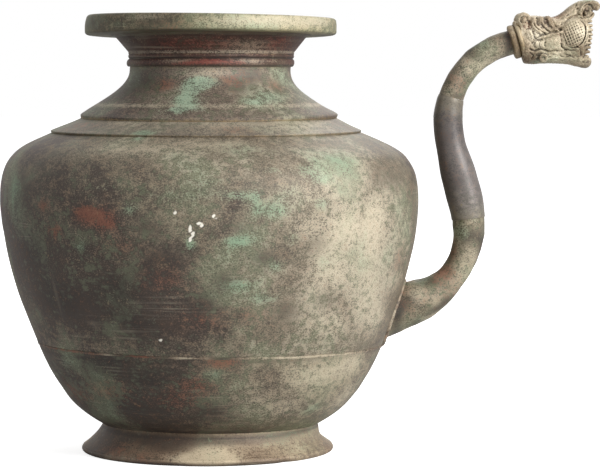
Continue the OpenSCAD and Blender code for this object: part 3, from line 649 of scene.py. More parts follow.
lowJoint, highJoint = legStarts[2] + 2, legStarts[5] + 15.6
ferruleS = legStarts[6] + 4.1
headS = ferruleS + 3.9 + 0.12
elbowRadii = [(-16.4, 14.7), (8.2, 13.4), (43.7, 8.3), (lowJoint, 9.6)]
shaftRadii = [(lowJoint, 10.1), (lowJoint + 14, 10.8), (lowJoint + 26, 10.6), (highJoint - 27, 8.9),
              (highJoint - 13, 8.8), (highJoint - 2.4, 8.1), (highJoint, 7.62)]
crookRadii = [(highJoint, 7.5), (highJoint + 14, 7.3), (400, 7.3)]
wallTable = [(p.y, p.x) for p in trace([(bowlBend, 0, 1)] + bodySpans[:2], 0, 2)]


def roundAxis(s, r, a):
    place, heading = spoutAt(s)
    return Vector((place.x - r * math.cos(a) * math.sin(heading), r * math.sin(a),
                   place.y + r * math.cos(a) * math.cos(heading)))


# Where the root's surface meets the belly at angle a, sunk into it by depth.
def rootPoint(a, thicker, out):
    low, high = -26, 26
    for _ in range(26):
        mid = (low + high) / 2
        p = roundAxis(mid, between(elbowRadii, mid) + thicker, a)
        if math.hypot(p.x, p.y) > np.interp(p.z, [t[0] for t in wallTable], [t[1] for t in wallTable]) + out:
            high = mid
        else:
            low = mid
    return roundAxis(low, between(elbowRadii, low) + thicker, a) * mm


# The first rings of the elbow are drawn back onto the belly, so the root is a saddle.
def seatRoot(bm, reach=14.0, sink=1.2):
    foot, heading = spoutAt(0)
    along = Vector((math.cos(heading), 0, math.sin(heading)))
    base = Vector((foot.x, 0, foot.y))
    side = Vector((-math.sin(heading), 0, math.cos(heading)))
    for v in bm.verts:
        p = v.co / mm - base
        s = p.dot(along)
        if s > reach:
            continue
        a = math.atan2(p.y, p.dot(side))
        r = math.hypot(p.y, p.dot(side))
        start = (rootPoint(a, r - between(elbowRadii, s), -sink) / mm - base).dot(along)
        s = start + (reach - start) * max(0, s + 2) / (reach + 2)
        v.co = roundAxis(s, r, a) * mm


elbowBm = swept(tube(elbowRadii, -2, lowJoint, 2))
seatRoot(elbowBm)
hammer(elbowBm, 9, 0.5)
spoutElbow = finishPiece("spoutElbow", elbowBm, ["spout_elbow"], spoutPatina)
shaftBm = swept(tube(shaftRadii, lowJoint + 0.1, highJoint - 0.1, 2))
spoutShaft = finishPiece("spoutShaft", shaftBm, ["spout_shaft"], shaftPatina)
crookBm = swept(tube(crookRadii, highJoint, headS + 9, 2))
hammer(crookBm, 10, 0.45)
spoutCrook = finishPiece("spoutCrook", crookBm, ["spout_crook"], spoutPatina)

ferrule = [(ferruleS, 7.45), (ferruleS, 9.3), (ferruleS + 0.3, 9.9), (ferruleS + 0.9, 10.2), (ferruleS + 3, 10.2),
           (ferruleS + 3.6, 9.9), (ferruleS + 3.9, 9.3), (ferruleS + 3.9, 7.45)]
ferruleBm = swept(ferrule)
spoutFerrule = finishPiece("spoutFerrule", ferruleBm, ["spout_ferrule"], headPatina)

# The bead of brazing metal that lies in the corner between belly and spout, thicker under it.
bead = {"out": 1.0, "thick": 1.45, "points": 96}
curve = bpy.data.curves.new("beadCourse", "CURVE")
curve.dimensions, curve.bevel_depth, curve.bevel_resolution = "3D", bead["thick"] * mm, 5
spline = curve.splines.new("POLY")
spline.points.add(bead["points"] - 1)
spline.use_cyclic_u = True
for k, point in enumerate(spline.points):
    a = math.tau * k / bead["points"]
    spot = rootPoint(a, bead["out"], 0.1)
    lumps = noise.noise(spot * 140 + Vector((2, 5, 1)))
    point.co = (*(spot + Vector((0, 0, 0.0004 * lumps))), 1)
    point.radius = 1.05 + 0.28 * lumps - 0.42 * math.cos(a)
holder = bpy.data.objects.new("beadCourse", curve)
bpy.context.scene.collection.objects.link(holder)
beadBm = bmesh.new()
beadBm.from_mesh(holder.to_mesh())
bpy.data.objects.remove(holder)
for v in beadBm.verts:
    v.co += v.normal * 0.00022 * noise.noise(v.co * 500)
spoutBraze = finishPiece("spoutBraze", beadBm, ["spout_braze"], brazingMetal, 180)

# Makara head, shaped in its own frame: X forwards to the jaws, Z up, in millimetres.
head = {
    "voxel": 0.36,
    "skull": [(0.8, -11.6, 12.6, 10.2), (4.5, -13.6, 15.0, 11.2), (10, -13.9, 15.1, 11.5), (17, -12.9, 14.4, 11.6),
              (23, -13.1, 13.7, 11.8), (29, -13.2, 14.0, 12.2), (35, -12.7, 14.4, 12.4), (38.6, -11.6, 13.2, 12.0),
              (39.4, -10.8, 12.2, 11.2)],
    "trunk": [(17, 8.2, 6.4, 5.4), (24, 9.4, 6.6, 5.6), (29.4, 12.9, 6.5, 5.1), (33.4, 16.7, 6.1, 4.7),
              (37.6, 19.5, 5.6, 4.4), (42, 20.8, 5.0, 3.7), (45.4, 21.1, 4.4, 3.1), (46.8, 20.3, 3.9, 2.4)],
    "jaw": [(8, -9.0, 9.6, 4.8), (20, -8.9, 10.2, 4.5), (30, -9.4, 10.2, 4.6), (36, -11.2, 9.0, 4.2),
            (40.4, -13.3, 6.2, 3.0), (41.4, -12.4, 4.8, 2.8)],
    "mouth": [(26, 3.0, 6.2, 6.2), (31, 2.6, 8.4, 8.0), (37, 1.6, 10.2, 9.4), (44, 1.2, 11.6, 10.0),
              (50, 1.0, 12.4, 10.6)],
    "teeth": 9, "toothLow": -9.2, "toothHigh": 11.6,
}
headPlace, headTurn = spoutAt(headS)
headOrigin = Vector((headPlace.x, 0, headPlace.y))


def softPath(path, cuts=6):
    out = []
    for i in range(len(path) - 1):
        p0, p1, p2, p3 = (path[max(0, min(len(path) - 1, i + k))] for k in (-1, 0, 1, 2))
        out += [tuple(0.5 * (2 * b + (c - a) * t + (2 * a - 5 * b + 4 * c - d) * t * t
                             + (3 * b - a - 3 * c + d) * t ** 3)
                      for a, b, c, d in zip(p0, p1, p2, p3)) for t in (j / cuts for j in range(cuts))]
    return out + [path[-1]]


def join(whole, bm):
    bmesh.ops.recalc_face_normals(bm, faces=bm.faces)
    mesh = bpy.data.meshes.new("part")
    bm.to_mesh(mesh)
    bm.free()
    whole.from_mesh(mesh)
    bpy.data.meshes.remove(mesh)


def lump(bm, place, reach, tilt=0.0, detail=3):
    bmesh.ops.create_icosphere(bm, subdivisions=detail, radius=1, matrix=Matrix.Translation(place)
                               @ Matrix.Rotation(math.radians(tilt), 4, "Y") @ Matrix.Diagonal((*reach, 1)))


# A soft roll: a round bar along a smoothed path of (x, y, z, reach sideways, reach up), with round ends.
def rolled(whole, path, around=16):
    stops = softPath(path)
    bm = bmesh.new()
    ring = bmesh.ops.create_circle(bm, cap_ends=False, segments=around, radius=1)["verts"]
    edges = bm.edges[:]
    last, firstEdges = Matrix.Identity(4), edges
    for i, (x, y, z, wide, tall) in enumerate(stops):
        before, after = Vector(stops[max(0, i - 1)][:3]), Vector(stops[min(len(stops) - 1, i + 1)][:3])
        turn = (after - before).to_track_quat("Z", "Y").to_matrix().to_4x4()
        here = Matrix.Translation((x, y, z)) @ Matrix.Diagonal((tall, wide, tall, 1)) @ turn
        if i:
            ring, edges = nextRing(bm, edges)
        bmesh.ops.transform(bm, matrix=here @ last.inverted(), verts=ring)
        last = here
    bmesh.ops.edgeloop_fill(bm, edges=firstEdges)
    bmesh.ops.edgeloop_fill(bm, edges=edges)
    for x, y, z, wide, tall in (path[0], path[-1]):
        lump(bm, (x, y, z), (tall, wide, tall), 0, 3)
    join(whole, bm)


# An oval drum through stations of (x, low, high, half width), squarer than an ellipse.
def drum(bm, stations, square=2.5, around=56):
    ring = bmesh.ops.create_circle(bm, cap_ends=False, segments=around, radius=1)["verts"]
    edges = bm.edges[:]
    for v in ring:
        c, s = v.co.x, v.co.y
        v.co = Vector((0, math.copysign(abs(c) ** (2 / square), c), math.copysign(abs(s) ** (2 / square), s)))
    last, firstEdges = Matrix.Identity(4), edges
    for i, (x, low, high, wide) in enumerate(stations):
        here = Matrix.Translation((x, 0, (low + high) / 2)) @ Matrix.Diagonal((1, wide, (high - low) / 2, 1))
        if i:
            ring, edges = nextRing(bm, edges)
        bmesh.ops.transform(bm, matrix=here @ last.inverted(), verts=ring)
        last = here
    bmesh.ops.edgeloop_fill(bm, edges=firstEdges)
    bmesh.ops.edgeloop_fill(bm, edges=edges)


bm = bmesh.new()
drum(bm, head["skull"])
rolled(bm, [(x, 0, z, wide, r) for x, z, wide, r in head["trunk"]], 40)
rolled(bm, [(x, 0, z, wide, r) for x, z, wide, r in head["jaw"]], 40)
lump(bm, (40.4, 0, 17.6), (4.4, 3.0, 4.4), 0, 4)
for side in (1, -1):
    lump(bm, (32.6, side * 10.0, 4.2), (7.8, 3.9, 9.4), 14, 5)  # cheek
    lump(bm, (19.5, side * 9.4, -0.6), (6.4, 3.0, 3.6), -12, 4)  # smooth flank before the cheek
    lump(bm, (2.9, side * 6.8, 12.4), (4.7, 4.3, 4.5), 0, 4)  # boss over the ring
    lump(bm, (6.6, side * 10.2, 3.4), (2.6, 1.9, 2.6), 0, 4)
    lump(bm, (12.4, side * 10.9, -2.2), (3.2, 1.7, 2.3), 0, 4)  # eye
    lump(bm, (14.5, side * 9.6, -10.4), (2.8, 2.2, 2.8), 0, 4)  # rosette under the jaw's hinge
    for run, (leafX, leafZ) in enumerate(((0, 0), (4.6, 0.2), (9.0, 0.5))):
        rolled(bm, [(7.9 + leafX, side * 5.2, 13.2 + leafZ * 0.4, 1.5, 1.5),
                    (8.6 + leafX, side * 9.2, 12.2 + leafZ, 1.6, 1.9),
                    (9.6 + leafX, side * 10.8, 9.2 + leafZ, 1.6, 2.0),
                    (12.0 + leafX * 0.95, side * 11.3, 6.4 + leafZ, 1.5, 1.6),
                    (16.4 + leafX * 0.85, side * 11.6, 4.4 + leafZ * 1.6, 1.0, 0.9)])
    rolled(bm, [(8.2, side * 11.2, -0.4, 0.9, 0.9), (12, side * 11.9, 1.7, 1.1, 1.1),
                (17.5, side * 12.1, 3.2, 1.1, 1.1), (24.6, side * 12.0, 5.0, 0.9, 0.9)])  # brow
    rolled(bm, [(35.6, side * 8.5, 14.2, 1.2, 1.2), (38.8, side * 10.4, 11.4, 1.3, 1.3),
                (40.6, side * 11.2, 7.2, 1.2, 1.3), (40.4, side * 11.4, 2.6, 1.2, 1.2),
                (38.6, side * 11.4, -1.8, 1.2, 1.2), (34.2, side * 11.4, -4.8, 1.1, 1.1)])
    rolled(bm, [(37.0, side * 4.4, 13.6, 1.3, 1.3), (37.1, side * 6.0, 17.2, 1.3, 1.3),
                (39.0, side * 5.6, 20.6, 1.2, 1.3), (42.8, side * 4.9, 22.6, 1.1, 1.2),
                (46.4, side * 4.0, 22.5, 1.0, 1.1), (48.4, side * 2.6, 20.9, 0.8, 0.9)])
    rolled(bm, [(44.2, side * 3.6, 15.8, 1.5, 1.5), (42.4, side * 4.6, 13.8, 1.6, 1.6),
                (39.8, side * 5.6, 13.2, 1.6, 1.6)])
    for x, z, r in ((40.6, 19.0, 1.2), (42.4, 17.2, 1.3), (40.2, 16.2, 1.3), (43.1, 19.4, 1.0), (38.8, 18.4, 0.9),
                    (42.0, 14.9, 1.2)):
        lump(bm, (x, side * 4.0, z), (r, 1.5, r), 0, 3)  # beads in the curl
    for i in range(head["teeth"]):
        z = head["toothLow"] + (head["toothHigh"] - head["toothLow"]) * i / (head["teeth"] - 1)
        y = side * 11.1 * math.sqrt(1 - ((z - 1.3) / 12.6) ** 2)
        tip = 44.2 - 1.9 * max(0, (5 - z) / 14)
        rolled(bm, [(36.5, y, z, 1.25, 1.2), (tip - 2.4, y * 0.985, z, 1.2, 1.14),
                    (tip - 1.0, y * 0.96, z, 1.0, 1.02)])
    for x, z, y, r in ((36.4, -10.9, 8.2, 2.1), (39.4, -11.1, 6.6, 2.0), (41.9, -11.4, 4.0, 1.8)):
        lump(bm, (x, side * y, z), (r, r, r * 0.9), 0, 4)  # lower lip
print("head joined", len(bm.verts))
bm = shaped(asObject("sculpt", bm), [("REMESH", {"mode": "VOXEL", "voxel_size": head["voxel"] * 1.2})])
print("head skin", len(bm.verts))

spoutTurn = Matrix.Rotation(-headTurn, 4, "Y")
cutters = []
for name in ("mouth", "throat", "socket", "behind"):
    part = bmesh.new()
    if name == "mouth":
        drum(part, [(x, z - tall, z + tall, wide) for x, z, tall, wide in head["mouth"]], 2.1, 48)
    elif name == "throat":
        bmesh.ops.create_cone(part, cap_ends=True, segments=48, radius1=5.4, radius2=5.4, depth=24,
                              matrix=Matrix.Translation((18, 0, 2.7)) @ Matrix.Rotation(math.radians(87), 4, "Y"))
    elif name == "socket":
        bmesh.ops.create_cone(part, cap_ends=True, segments=48, radius1=7.42, radius2=7.42, depth=14,
                              matrix=spoutTurn @ Matrix.Translation((2, 0, 0)) @ Matrix.Rotation(math.pi / 2, 4, "Y"))
    else:
        bmesh.ops.create_cube(part, size=60, matrix=spoutTurn @ Matrix.Translation((-30, 0, 0)))
    cutters.append(asObject(name, part))
bm = shaped(asObject("sculpt", bm),
            [drilledBy(cutter) for cutter in cutters]
            + [("REMESH", {"mode": "VOXEL", "voxel_size": head["voxel"]}),
               ("SMOOTH", {"factor": 0.5, "iterations": 2})])
for cutter in cutters:
    bpy.data.objects.remove(cutter)
print("head hollowed", len(bm.verts))

# Chased lines: each is a path seen from the side, its width and its height (negative is cut in).
chased = [
    ([(8.3, 10.6), (9.5, 8), (12.1, 6), (15.3, 4.0)], 0.55, -0.7),
    ([(13.1, 10), (14.6, 7.6), (17.6, 5.4), (22.9, 5.2)], 0.55, -0.75),
    ([(16.2, 12.8), (16.9, 10.2), (18.9, 7.6)], 0.5, -0.45),
    ([(19.3, 13), (20.2, 10.2), (22.3, 8.2), (24.9, 7)], 0.6, -0.9),
    ([(20.9, 11.6), (22.3, 9.8), (24.5, 8.6), (26.3, 9.4)], 0.5, 0.45),
    ([(5.2, 14.6), (5.9, 11), (5.6, 8.4)], 0.5, -0.6), ([(10.6, 14.6), (10.6, 11.4), (11.2, 9)], 0.45, -0.5),
    ([(15, 14.4), (14.9, 12.2), (15.4, 10.6)], 0.45, -0.5),
    ([(4.0, 6.6), (5.9, 7.2), (8.0, 5.6), (9.2, 2.4)], 0.5, -0.5),
    ([(4.6, 4.4), (6.4, 4.6), (7.6, 2.6)], 0.4, 0.35),
    ([(8.6, 0.9), (12.6, 3.1), (17.4, 4.5), (23.4, 6.2)], 0.42, -0.55),
    ([(7.6, -1.4), (9.6, 0), (13.5, 0.6)], 0.45, -0.5),
    ([(10.4, -0.6), (9.9, -2.2), (10.6, -4.0)], 0.35, 0.35),
    ([(12.3, -0.4), (11.7, -2.2), (12.5, -4.2)], 0.32, -0.4),
    ([(14.3, -0.6), (13.7, -2.2), (14.5, -4.0)], 0.35, 0.3),
    ([(15.6, -0.9), (15.1, -2.4), (15.8, -3.8)], 0.35, -0.4),
    ([(6.4, -4.9), (9, -6.1), (12, -5.2), (15, -5.7), (18, -6.5), (21, -5.9), (24, -6.4), (28, -5.6)], 0.6, -0.65),
    ([(24.9, -1.8), (25.4, -3.6), (27.0, -5.2)], 0.6, -0.8),
    ([(17.6, -7.6), (20, -7.1), (22.6, -7.8)], 0.5, 0.35), ([(24, -7.4), (27, -7), (30.4, -7.6)], 0.5, 0.4),
    ([(18.4, -9.6), (20.8, -9), (23.4, -9.8)], 0.45, -0.4),
    ([(24.6, -9.2), (27.2, -10), (30.2, -9.2), (32.8, -10.2)], 0.45, -0.4),
    ([(18.8, -11.6), (22, -11.2), (26, -12)], 0.4, -0.35), ([(6.6, -7.4), (8.4, -9), (7.4, -11)], 0.5, -0.45),
    ([(25.6, 11), (24.4, 7), (24.4, 3), (25.2, -0.6)], 0.5, -0.3),
    ([(27.3, 13), (31, 14.8), (35.2, 16.2), (37.2, 18.2)], 0.6, 0.5),
    ([(28.6, 15), (31.6, 17.4), (33.6, 19.8)], 0.5, -0.3), ([(36.6, 13.8), (38.8, 11), (39.4, 7)], 0.35, -0.4),
    ([(33.6, 15.2), (30.4, 13.6), (27.4, 11.4)], 0.45, -0.4),
    ([(34.3, -3.6), (36.4, -6), (36.8, -8.4)], 0.45, -0.5), ([(34.1, 21.2), (34.15, 21.3)], 0.6, -0.9),
    ([(34.9, 19.2), (34.95, 19.3)], 0.6, -0.9),
]
rings = [((14.5, -10.3), 1.9, 0.4, 0.5), ((14.5, -10.3), 0.4, 0.8, -0.7), ((2.9, 12.4), 2.3, 0.45, -0.5),
         ((2.9, 12.4), 0.2, 0.9, 0.4), ((41.3, 17.9), 3.4, 0.5, -0.8)]


def nearPath(points, path):
    best = np.full(len(points), 1e9)
    for (x0, z0), (x1, z1) in zip(path, path[1:]):
        ax, az = x1 - x0, z1 - z0
        t = np.clip(((points[:, 0] - x0) * ax + (points[:, 2] - z0) * az) / (ax * ax + az * az), 0, 1)
        best = np.minimum(best, np.hypot(points[:, 0] - x0 - t * ax, points[:, 2] - z0 - t * az))
    return best


bm.normal_update()
points = np.array([v.co for v in bm.verts])
outwards = np.array([v.normal for v in bm.verts])
facing = np.clip((outwards[:, 1] * np.sign(points[:, 1]) - 0.25) / 0.35, 0, 1) * (np.abs(points[:, 1]) > 3.2)
carve = np.zeros(len(points))
for path, width, height in chased:
    carve += height * np.exp(-(nearPath(points, softPath(path)) / width) ** 2)
for (x, z), radius, width, height in rings:
    carve += height * np.exp(-((np.hypot(points[:, 0] - x, points[:, 2] - z) - radius) / width) ** 2)
# The cheek carries a net of raised lines, inside two raised borders on its front.
tilt = math.radians(-14)
u = (points[:, 0] - 32.4) * math.cos(tilt) + (points[:, 2] - 4.4) * math.sin(tilt)
w = -(points[:, 0] - 32.4) * math.sin(tilt) + (points[:, 2] - 4.4) * math.cos(tilt)
oval = np.hypot(u / 6.6, w / 8.3)


def netLine(across, pitch, thick):
    return np.exp(-((np.abs((across / pitch) % 1 - 0.5) * pitch) / thick) ** 2)


net = np.maximum(netLine(u * 0.8 + w * 0.6, 1.6, 0.36), netLine(u * 0.62 - w * 0.78, 1.7, 0.36))
carve += np.clip((1.0 - oval) * 6, 0, 1) * (net * 0.2 - (1 - net) * 0.26)
toothPitch = (head["toothHigh"] - head["toothLow"]) / (head["teeth"] - 1)
gap = np.abs(((points[:, 2] - head["toothLow"]) / toothPitch) % 1 - 0.5) * toothPitch
carve -= 1.1 * np.exp(-(gap / 0.42) ** 2) * (points[:, 0] > 41.2) * (np.abs(points[:, 2] - 1.2) < 11.4)
front = np.clip((u + 2.5) / 3, 0, 1)
for share, height in ((1.06, -0.32), (1.15, 0.35), (1.25, -0.36)):
    carve += front * height * np.exp(-((oval - share) / 0.045) ** 2)
uneasy = np.array([noise.noise(Vector(p) * 0.5 + Vector((3, 8, 1))) for p in points])
points += outwards * (1.35 * carve * facing * np.clip(1 + 1.1 * uneasy, 0.25, 1.6))[:, None]
grit = np.array([0.5 * noise.noise(Vector(p) * 1.1) - 0.9 * max(0, 0.2 - abs(noise.noise(Vector(p) * 0.62)))
                 for p in points])
points += outwards * (0.42 * grit * (1 - 0.6 * (oval < 1)))[:, None]
for v, p in zip(bm.verts, points):
    v.co = (Vector(p) + headOrigin) * mm

# The plain ring at the back of the head, square to the spout.
ringBm = swept([(headS, 7.5), (headS, 11.0), (headS + 0.35, 11.6), (headS + 0.9, 11.9), (headS + 1.8, 11.9),
                (headS + 2.4, 11.5), (headS + 2.7, 10.6), (headS + 2.7, 7.5)])
for v in ringBm.verts:
    v.co += v.normal * 0.0001 * noise.noise(v.co * 300)
ringMesh = bpy.data.meshes.new("ring")
bmesh.ops.recalc_face_normals(ringBm, faces=ringBm.faces)
ringBm.to_mesh(ringMesh)
ringBm.free()
bm.from_mesh(ringMesh)
makaraHead = finishPiece("makaraHead", bm, ["makara_head"], headPatina, 180)

# Where the patina differs, and where light and shade are painted into it: (angle round the pot or None, height, reach
# round, reach up, amount), in degrees and mm.
# Painted shade: the dark rings round the top of the foot, where it runs in under the bowl.
footPaint = {
    "shade": [(-80, 8, 50, 20, 0.35), (-40, 8, 40, 20, 0.2), (-150, 8, 50, 20, -0.2), (90, 8, 60, 20, 0.1),
              (20, 8, 40, 20, 0.2)],
    "soot": [(None, 15.2, 1, 1.6, 0.7), (-110, 12.5, 60, 2.5, 0.5), (-60, 12.5, 40, 2, 0.3),
             (-66, 0.6, 26, 1.8, 0.9), (-112, 0.6, 34, 1.8, 0.9), (-108, 9, 20, 3, 0.5), (70, 1, 30, 2, 0.8),
             (150, 4, 20, 4, 0.5), (-160, 3, 20, 4, 0.5)],
    "buff": [(-88, 7, 15, 5, 1.3), (-99, 4, 12, 3, 0.9), (-78, 4, 8, 3, 0.6), (-42, 7, 10, 4, 0.6),
             (60, 7, 16, 5, 0.9), (178, 6, 12, 4, 0.8), (125, 8, 12, 4, 0.5)],
    "verdigris": [(-104, 8, 8, 3, 0.5), (-60, 10, 12, 2, 0.5), (20, 9, 10, 3, 0.5)],
    "copper": [(-135, 6, 12, 4, 0.6), (-120, 3, 10, 3, 0.4), (120, 5, 12, 4, 0.6)],
}
# Painted light and shade: the shade spots make the bowl lighter on its right front, where the key lamp falls, and
# darker on its left, over its real tone.
bowlPaint = {
    "shade": [(-66, 56, 34, 22, 0.3), (-36, 56, 38, 30, 0.5), (-70, 30, 30, 10, 0.12),
              (-115, 46, 62, 34, -0.42), (-160, 50, 60, 36, -0.25), (20, 50, 50, 26, 0.3),
              (95, 46, 46, 26, -0.2), (140, 52, 40, 24, 0.2)],
    "soot": [(None, 62.8, 1, 1.0, 0.4), (-90, 18, 60, 3, 0.5), (-108, 52, 18, 10, 0.6), (-126, 60, 20, 9, 0.7),
             (-120, 34, 24, 9, 0.6), (-88, 34, 12, 8, 0.45), (80, 40, 26, 14, 0.5), (-150, 48, 20, 10, 0.5)],
    "buff": [(-72, 40, 14, 10, 0.35), (-50, 52, 24, 10, 0.6), (-33, 58, 18, 9, 0.6), (-25, 36, 14, 10, 0.7),
             (-58, 34, 14, 7, 0.5), (50, 50, 22, 12, 0.6), (160, 44, 18, 10, 0.5)],
    "verdigris": [(-146, 58, 8, 5, 0.45), (110, 56, 14, 6, 0.7), (-30, 44, 8, 5, 0.4), (-45, 32, 14, 4, 0.5),
                  (-86, 56, 8, 5, 0.5)],
    "copper": [(-84, 63, 10, 5, 0.9), (-92, 50, 14, 7, 0.5), (-100, 40, 18, 8, 0.45), (-128, 44, 18, 9, 0.45),
               (-150, 40, 14, 8, 0.5), (70, 60, 12, 6, 0.6)],
}
# Painted light and shade: the shade spots make the belly lighter on its right front, where the key lamp falls, and
# darker on its left; the buff spots there and the dark patches on the left add to it, as well as real patina.
bodyPaint = {
    "shade": [(-46, 138, 50, 44, 0.45), (-58, 176, 60, 20, 0.25), (-62, 96, 30, 26, 0.2),
              (-30, 96, 40, 34, 0.42), (-128, 110, 62, 46, -0.45), (-160, 138, 50, 36, -0.35),
              (-96, 92, 34, 24, -0.2), (-118, 160, 40, 16, -0.1), (-104, 184, 60, 10, 0.2),
              (-74, 130, 20, 16, -0.12), (30, 130, 46, 44, 0.2), (86, 150, 46, 36, -0.25),
              (125, 110, 50, 36, 0.2), (165, 110, 40, 40, -0.25)],
    "soot": [(-113, 105, 22, 14, 0.65), (-136, 97, 26, 15, 0.7), (-145, 125, 24, 18, 0.6),
             (-32, 164, 22, 9, 0.3), (-58, 130, 12, 9, 0.35), (-110, 84, 24, 10, 0.6),
             (-100, 122, 16, 10, 0.5), (-104, 140, 10, 6, 0.4), (-90, 96, 12, 10, 0.5),
             (-150, 160, 22, 12, 0.5), (-80, 140, 7, 5, 0.4), (92, 128, 30, 20, 0.6), (150, 92, 24, 14, 0.6),
             (-74, 123, 9, 6, 0.45), (-84, 110, 8, 8, 0.45), (-66, 92, 10, 7, 0.4), (-54, 98, 9, 6, 0.35)],
    "buff": [(-49, 140, 16, 11, 0.8), (-38, 142, 12, 16, 0.8), (-56, 128, 13, 10, 0.6),
             (-54, 112, 15, 10, 0.6), (-40, 120, 18, 16, 0.45), (-35, 98, 14, 12, 0.5), (-62, 140, 12, 7, 0.5),
             (-62, 158, 20, 7, 0.35), (-50, 84, 18, 10, 0.5), (-28, 84, 16, 10, 0.5), (-112, 184, 34, 5, 0.55),
             (-84, 186, 26, 4, 0.5), (40, 150, 20, 14, 0.7), (120, 140, 22, 12, 0.6), (-137, 99, 2, 12, 0.6)],
    "fleck": [(-97, 149, 1.1, 1.3, 1.2), (-93, 140, 0.8, 2.2, 1.2), (-91, 143, 1.1, 1.2, 1.2),
              (-90, 142, 1.0, 1.3, 1.1), (-87, 147, 1.0, 1.1, 1.2), (-86.5, 145.5, 0.8, 0.9, 1.0),
              (-93, 134, 0.9, 1.3, 1.2), (-92.3, 137, 0.7, 1.6, 1.2), (-103, 76, 1.1, 1.0, 1.2),
              (-113, 190.5, 2.0, 1.0, 1.0), (70, 140, 1.2, 1.6, 1.1), (74, 136, 1.0, 1.3, 1.1)],
    "verdigris": [(-81, 158, 10, 4, 1.0), (-72, 172, 8, 3, 0.9), (-61, 172, 10, 5, 1.0), (-58, 166, 8, 4, 0.9),
                  (-58, 153, 8, 5, 0.9), (-66, 160, 14, 7, 0.6), (-72, 150, 14, 6, 0.75),
                  (-76, 157, 4, 8, 0.6), (-81, 133, 9, 3.4, 1.0), (-66, 134, 5, 7, 0.7), (-56, 118, 9, 8, 0.4),
                  (-88, 162, 16, 7, 0.4), (-100, 158, 16, 6, 0.35), (-70, 119, 6, 5, 0.8),
                  (-80, 108, 10, 4, 0.7), (-72, 100, 12, 4, 0.7), (-66, 106, 6, 5, 0.5), (-93, 131, 4, 5, 1.1),
                  (-104, 88, 7, 4, 0.9), (-109, 150, 6, 5, 0.7), (-80, 184, 22, 5, 0.6),
                  (-50, 178, 26, 9, 0.5), (-113, 189, 5, 2, 0.9), (-139, 103, 2, 14, 0.5),
                  (-124, 128, 5, 4, 0.6), (-116, 162, 9, 3, 0.6), (-42, 132, 4, 18, 0.5),
                  (-30, 118, 10, 22, 0.4), (-152, 150, 8, 20, 0.4), (-100, 118, 10, 5, 0.5),
                  (70, 170, 20, 8, 0.9), (100, 110, 12, 9, 0.8), (150, 150, 16, 8, 0.9), (24, 160, 16, 8, 0.6)],
    "copper": [(-119, 146, 13, 6, 1.1), (-122, 148.5, 7, 3, 0.8), (-115, 142, 8, 4, 0.6),
               (-137, 151, 6, 4, 0.7), (-133, 137, 6, 5, 0.8), (-100, 112, 16, 9, 0.4), (-76, 92, 12, 6, 0.35),
               (-112, 130, 14, 7, 0.35), (-90, 88, 14, 7, 0.4), (60, 130, 14, 9, 0.8), (135, 170, 12, 5, 0.7),
               (-22, 120, 10, 12, 0.3)],
    "worn": [(-64, 151, 26, 3, 0.15), (80, 152, 40, 3, 0.2)],
}
# Painted shade: the dark ring where the collar runs in under the neck's flange, deepest on the left; the shade spots
# make the collar lighter on its right front.
collarPaint = {
    "shade": [(-60, 196, 60, 14, 0.35), (-120, 196, 50, 14, 0.1), (90, 196, 60, 14, -0.1)],
    "soot": [(-130, 203, 60, 1.2, 0.9), (None, 204.2, 1, 1.0, 0.4), (100, 203, 60, 1.6, 0.7),
             (-98, 196, 14, 3, 0.3), (-68, 199, 14, 2.5, 0.4)],
    "buff": [(-84, 196, 30, 5, 0.5), (-48, 197, 26, 5, 0.6), (-128, 198, 30, 3, 0.5), (60, 197, 30, 5, 0.5)],
    "verdigris": [(-70, 194, 16, 3, 0.7), (-112, 192, 8, 2, 1.1), (110, 195, 20, 4, 0.8)],
    "copper": [(-150, 196, 14, 4, 0.5), (-62, 200, 8, 3, 0.5), (-78, 194, 12, 2, 0.5)],
}
# Painted light and shade: the shade spots make the neck lighter on its right front and darker on its left.
neckPaint = {
    "shade": [(-60, 214, 46, 20, 0.25), (-145, 214, 44, 20, -0.2), (90, 214, 40, 20, -0.1)],
    "soot": [(-146, 222, 20, 10, 0.5), (None, 229.4, 1, 1.2, 0.4), (-60, 224, 12, 6, 0.5),
             (-70, 218, 10, 5, 0.4)],
    "buff": [(None, 207.2, 1, 1.4, 0.6), (-88, 226, 22, 3, 0.6), (-110, 214, 14, 6, 0.4),
             (70, 214, 16, 8, 0.5)],
    "verdigris": [(-101, 210, 8, 7, 1.0), (-97, 218, 9, 5, 0.9), (-90, 221, 12, 3.6, 1.2),
                  (-105, 204.5, 9, 2.5, 0.7), (-92, 207, 10, 3, 0.6), (-64, 209, 9, 3, 0.6),
                  (-50, 212, 14, 6, 0.5), (90, 212, 20, 7, 1.0), (150, 216, 12, 6, 0.7)],
    "copper": [(-118, 219, 9, 5, 0.7), (-72, 222, 12, 5, 0.7), (-40, 218, 8, 6, 0.6), (30, 220, 10, 6, 0.6)],
}
bandPaint = {
    "soot": [(None, 230.4, 1, 0.7, 0.8), (None, 235, 1, 0.7, 0.8)],
    "buff": [(-60, 233, 14, 3, 0.5), (-110, 233, 12, 2, 0.4), (80, 233, 14, 3, 0.6),
             (None, 229.9, 1, 0.7, 0.5)],
    "copper": [(-87, 232.6, 11, 1.5, 1.3), (-104, 231.6, 10, 1.4, 0.8), (-68, 232, 8, 1.6, 0.7),
               (60, 232, 12, 3, 0.8), (160, 233, 12, 3, 0.6)],
}
# Painted shadow: the dark ring at the top of the funnel, under the rim.
funnelPaint = {
    "soot": [(None, 249, 1, 2.4, 0.7), (-150, 243, 30, 8, 0.5), (100, 243, 30, 8, 0.4)],
    "buff": [(None, 238.2, 1, 1.0, 0.6), (-64, 242, 20, 4, 0.4)],
    "copper": [(-84, 243, 20, 4, 0.5), (-112, 243, 16, 5, 0.35), (-40, 244, 12, 5, 0.6), (60, 243, 16, 5, 0.8),
               (170, 243, 16, 5, 0.8)],
}
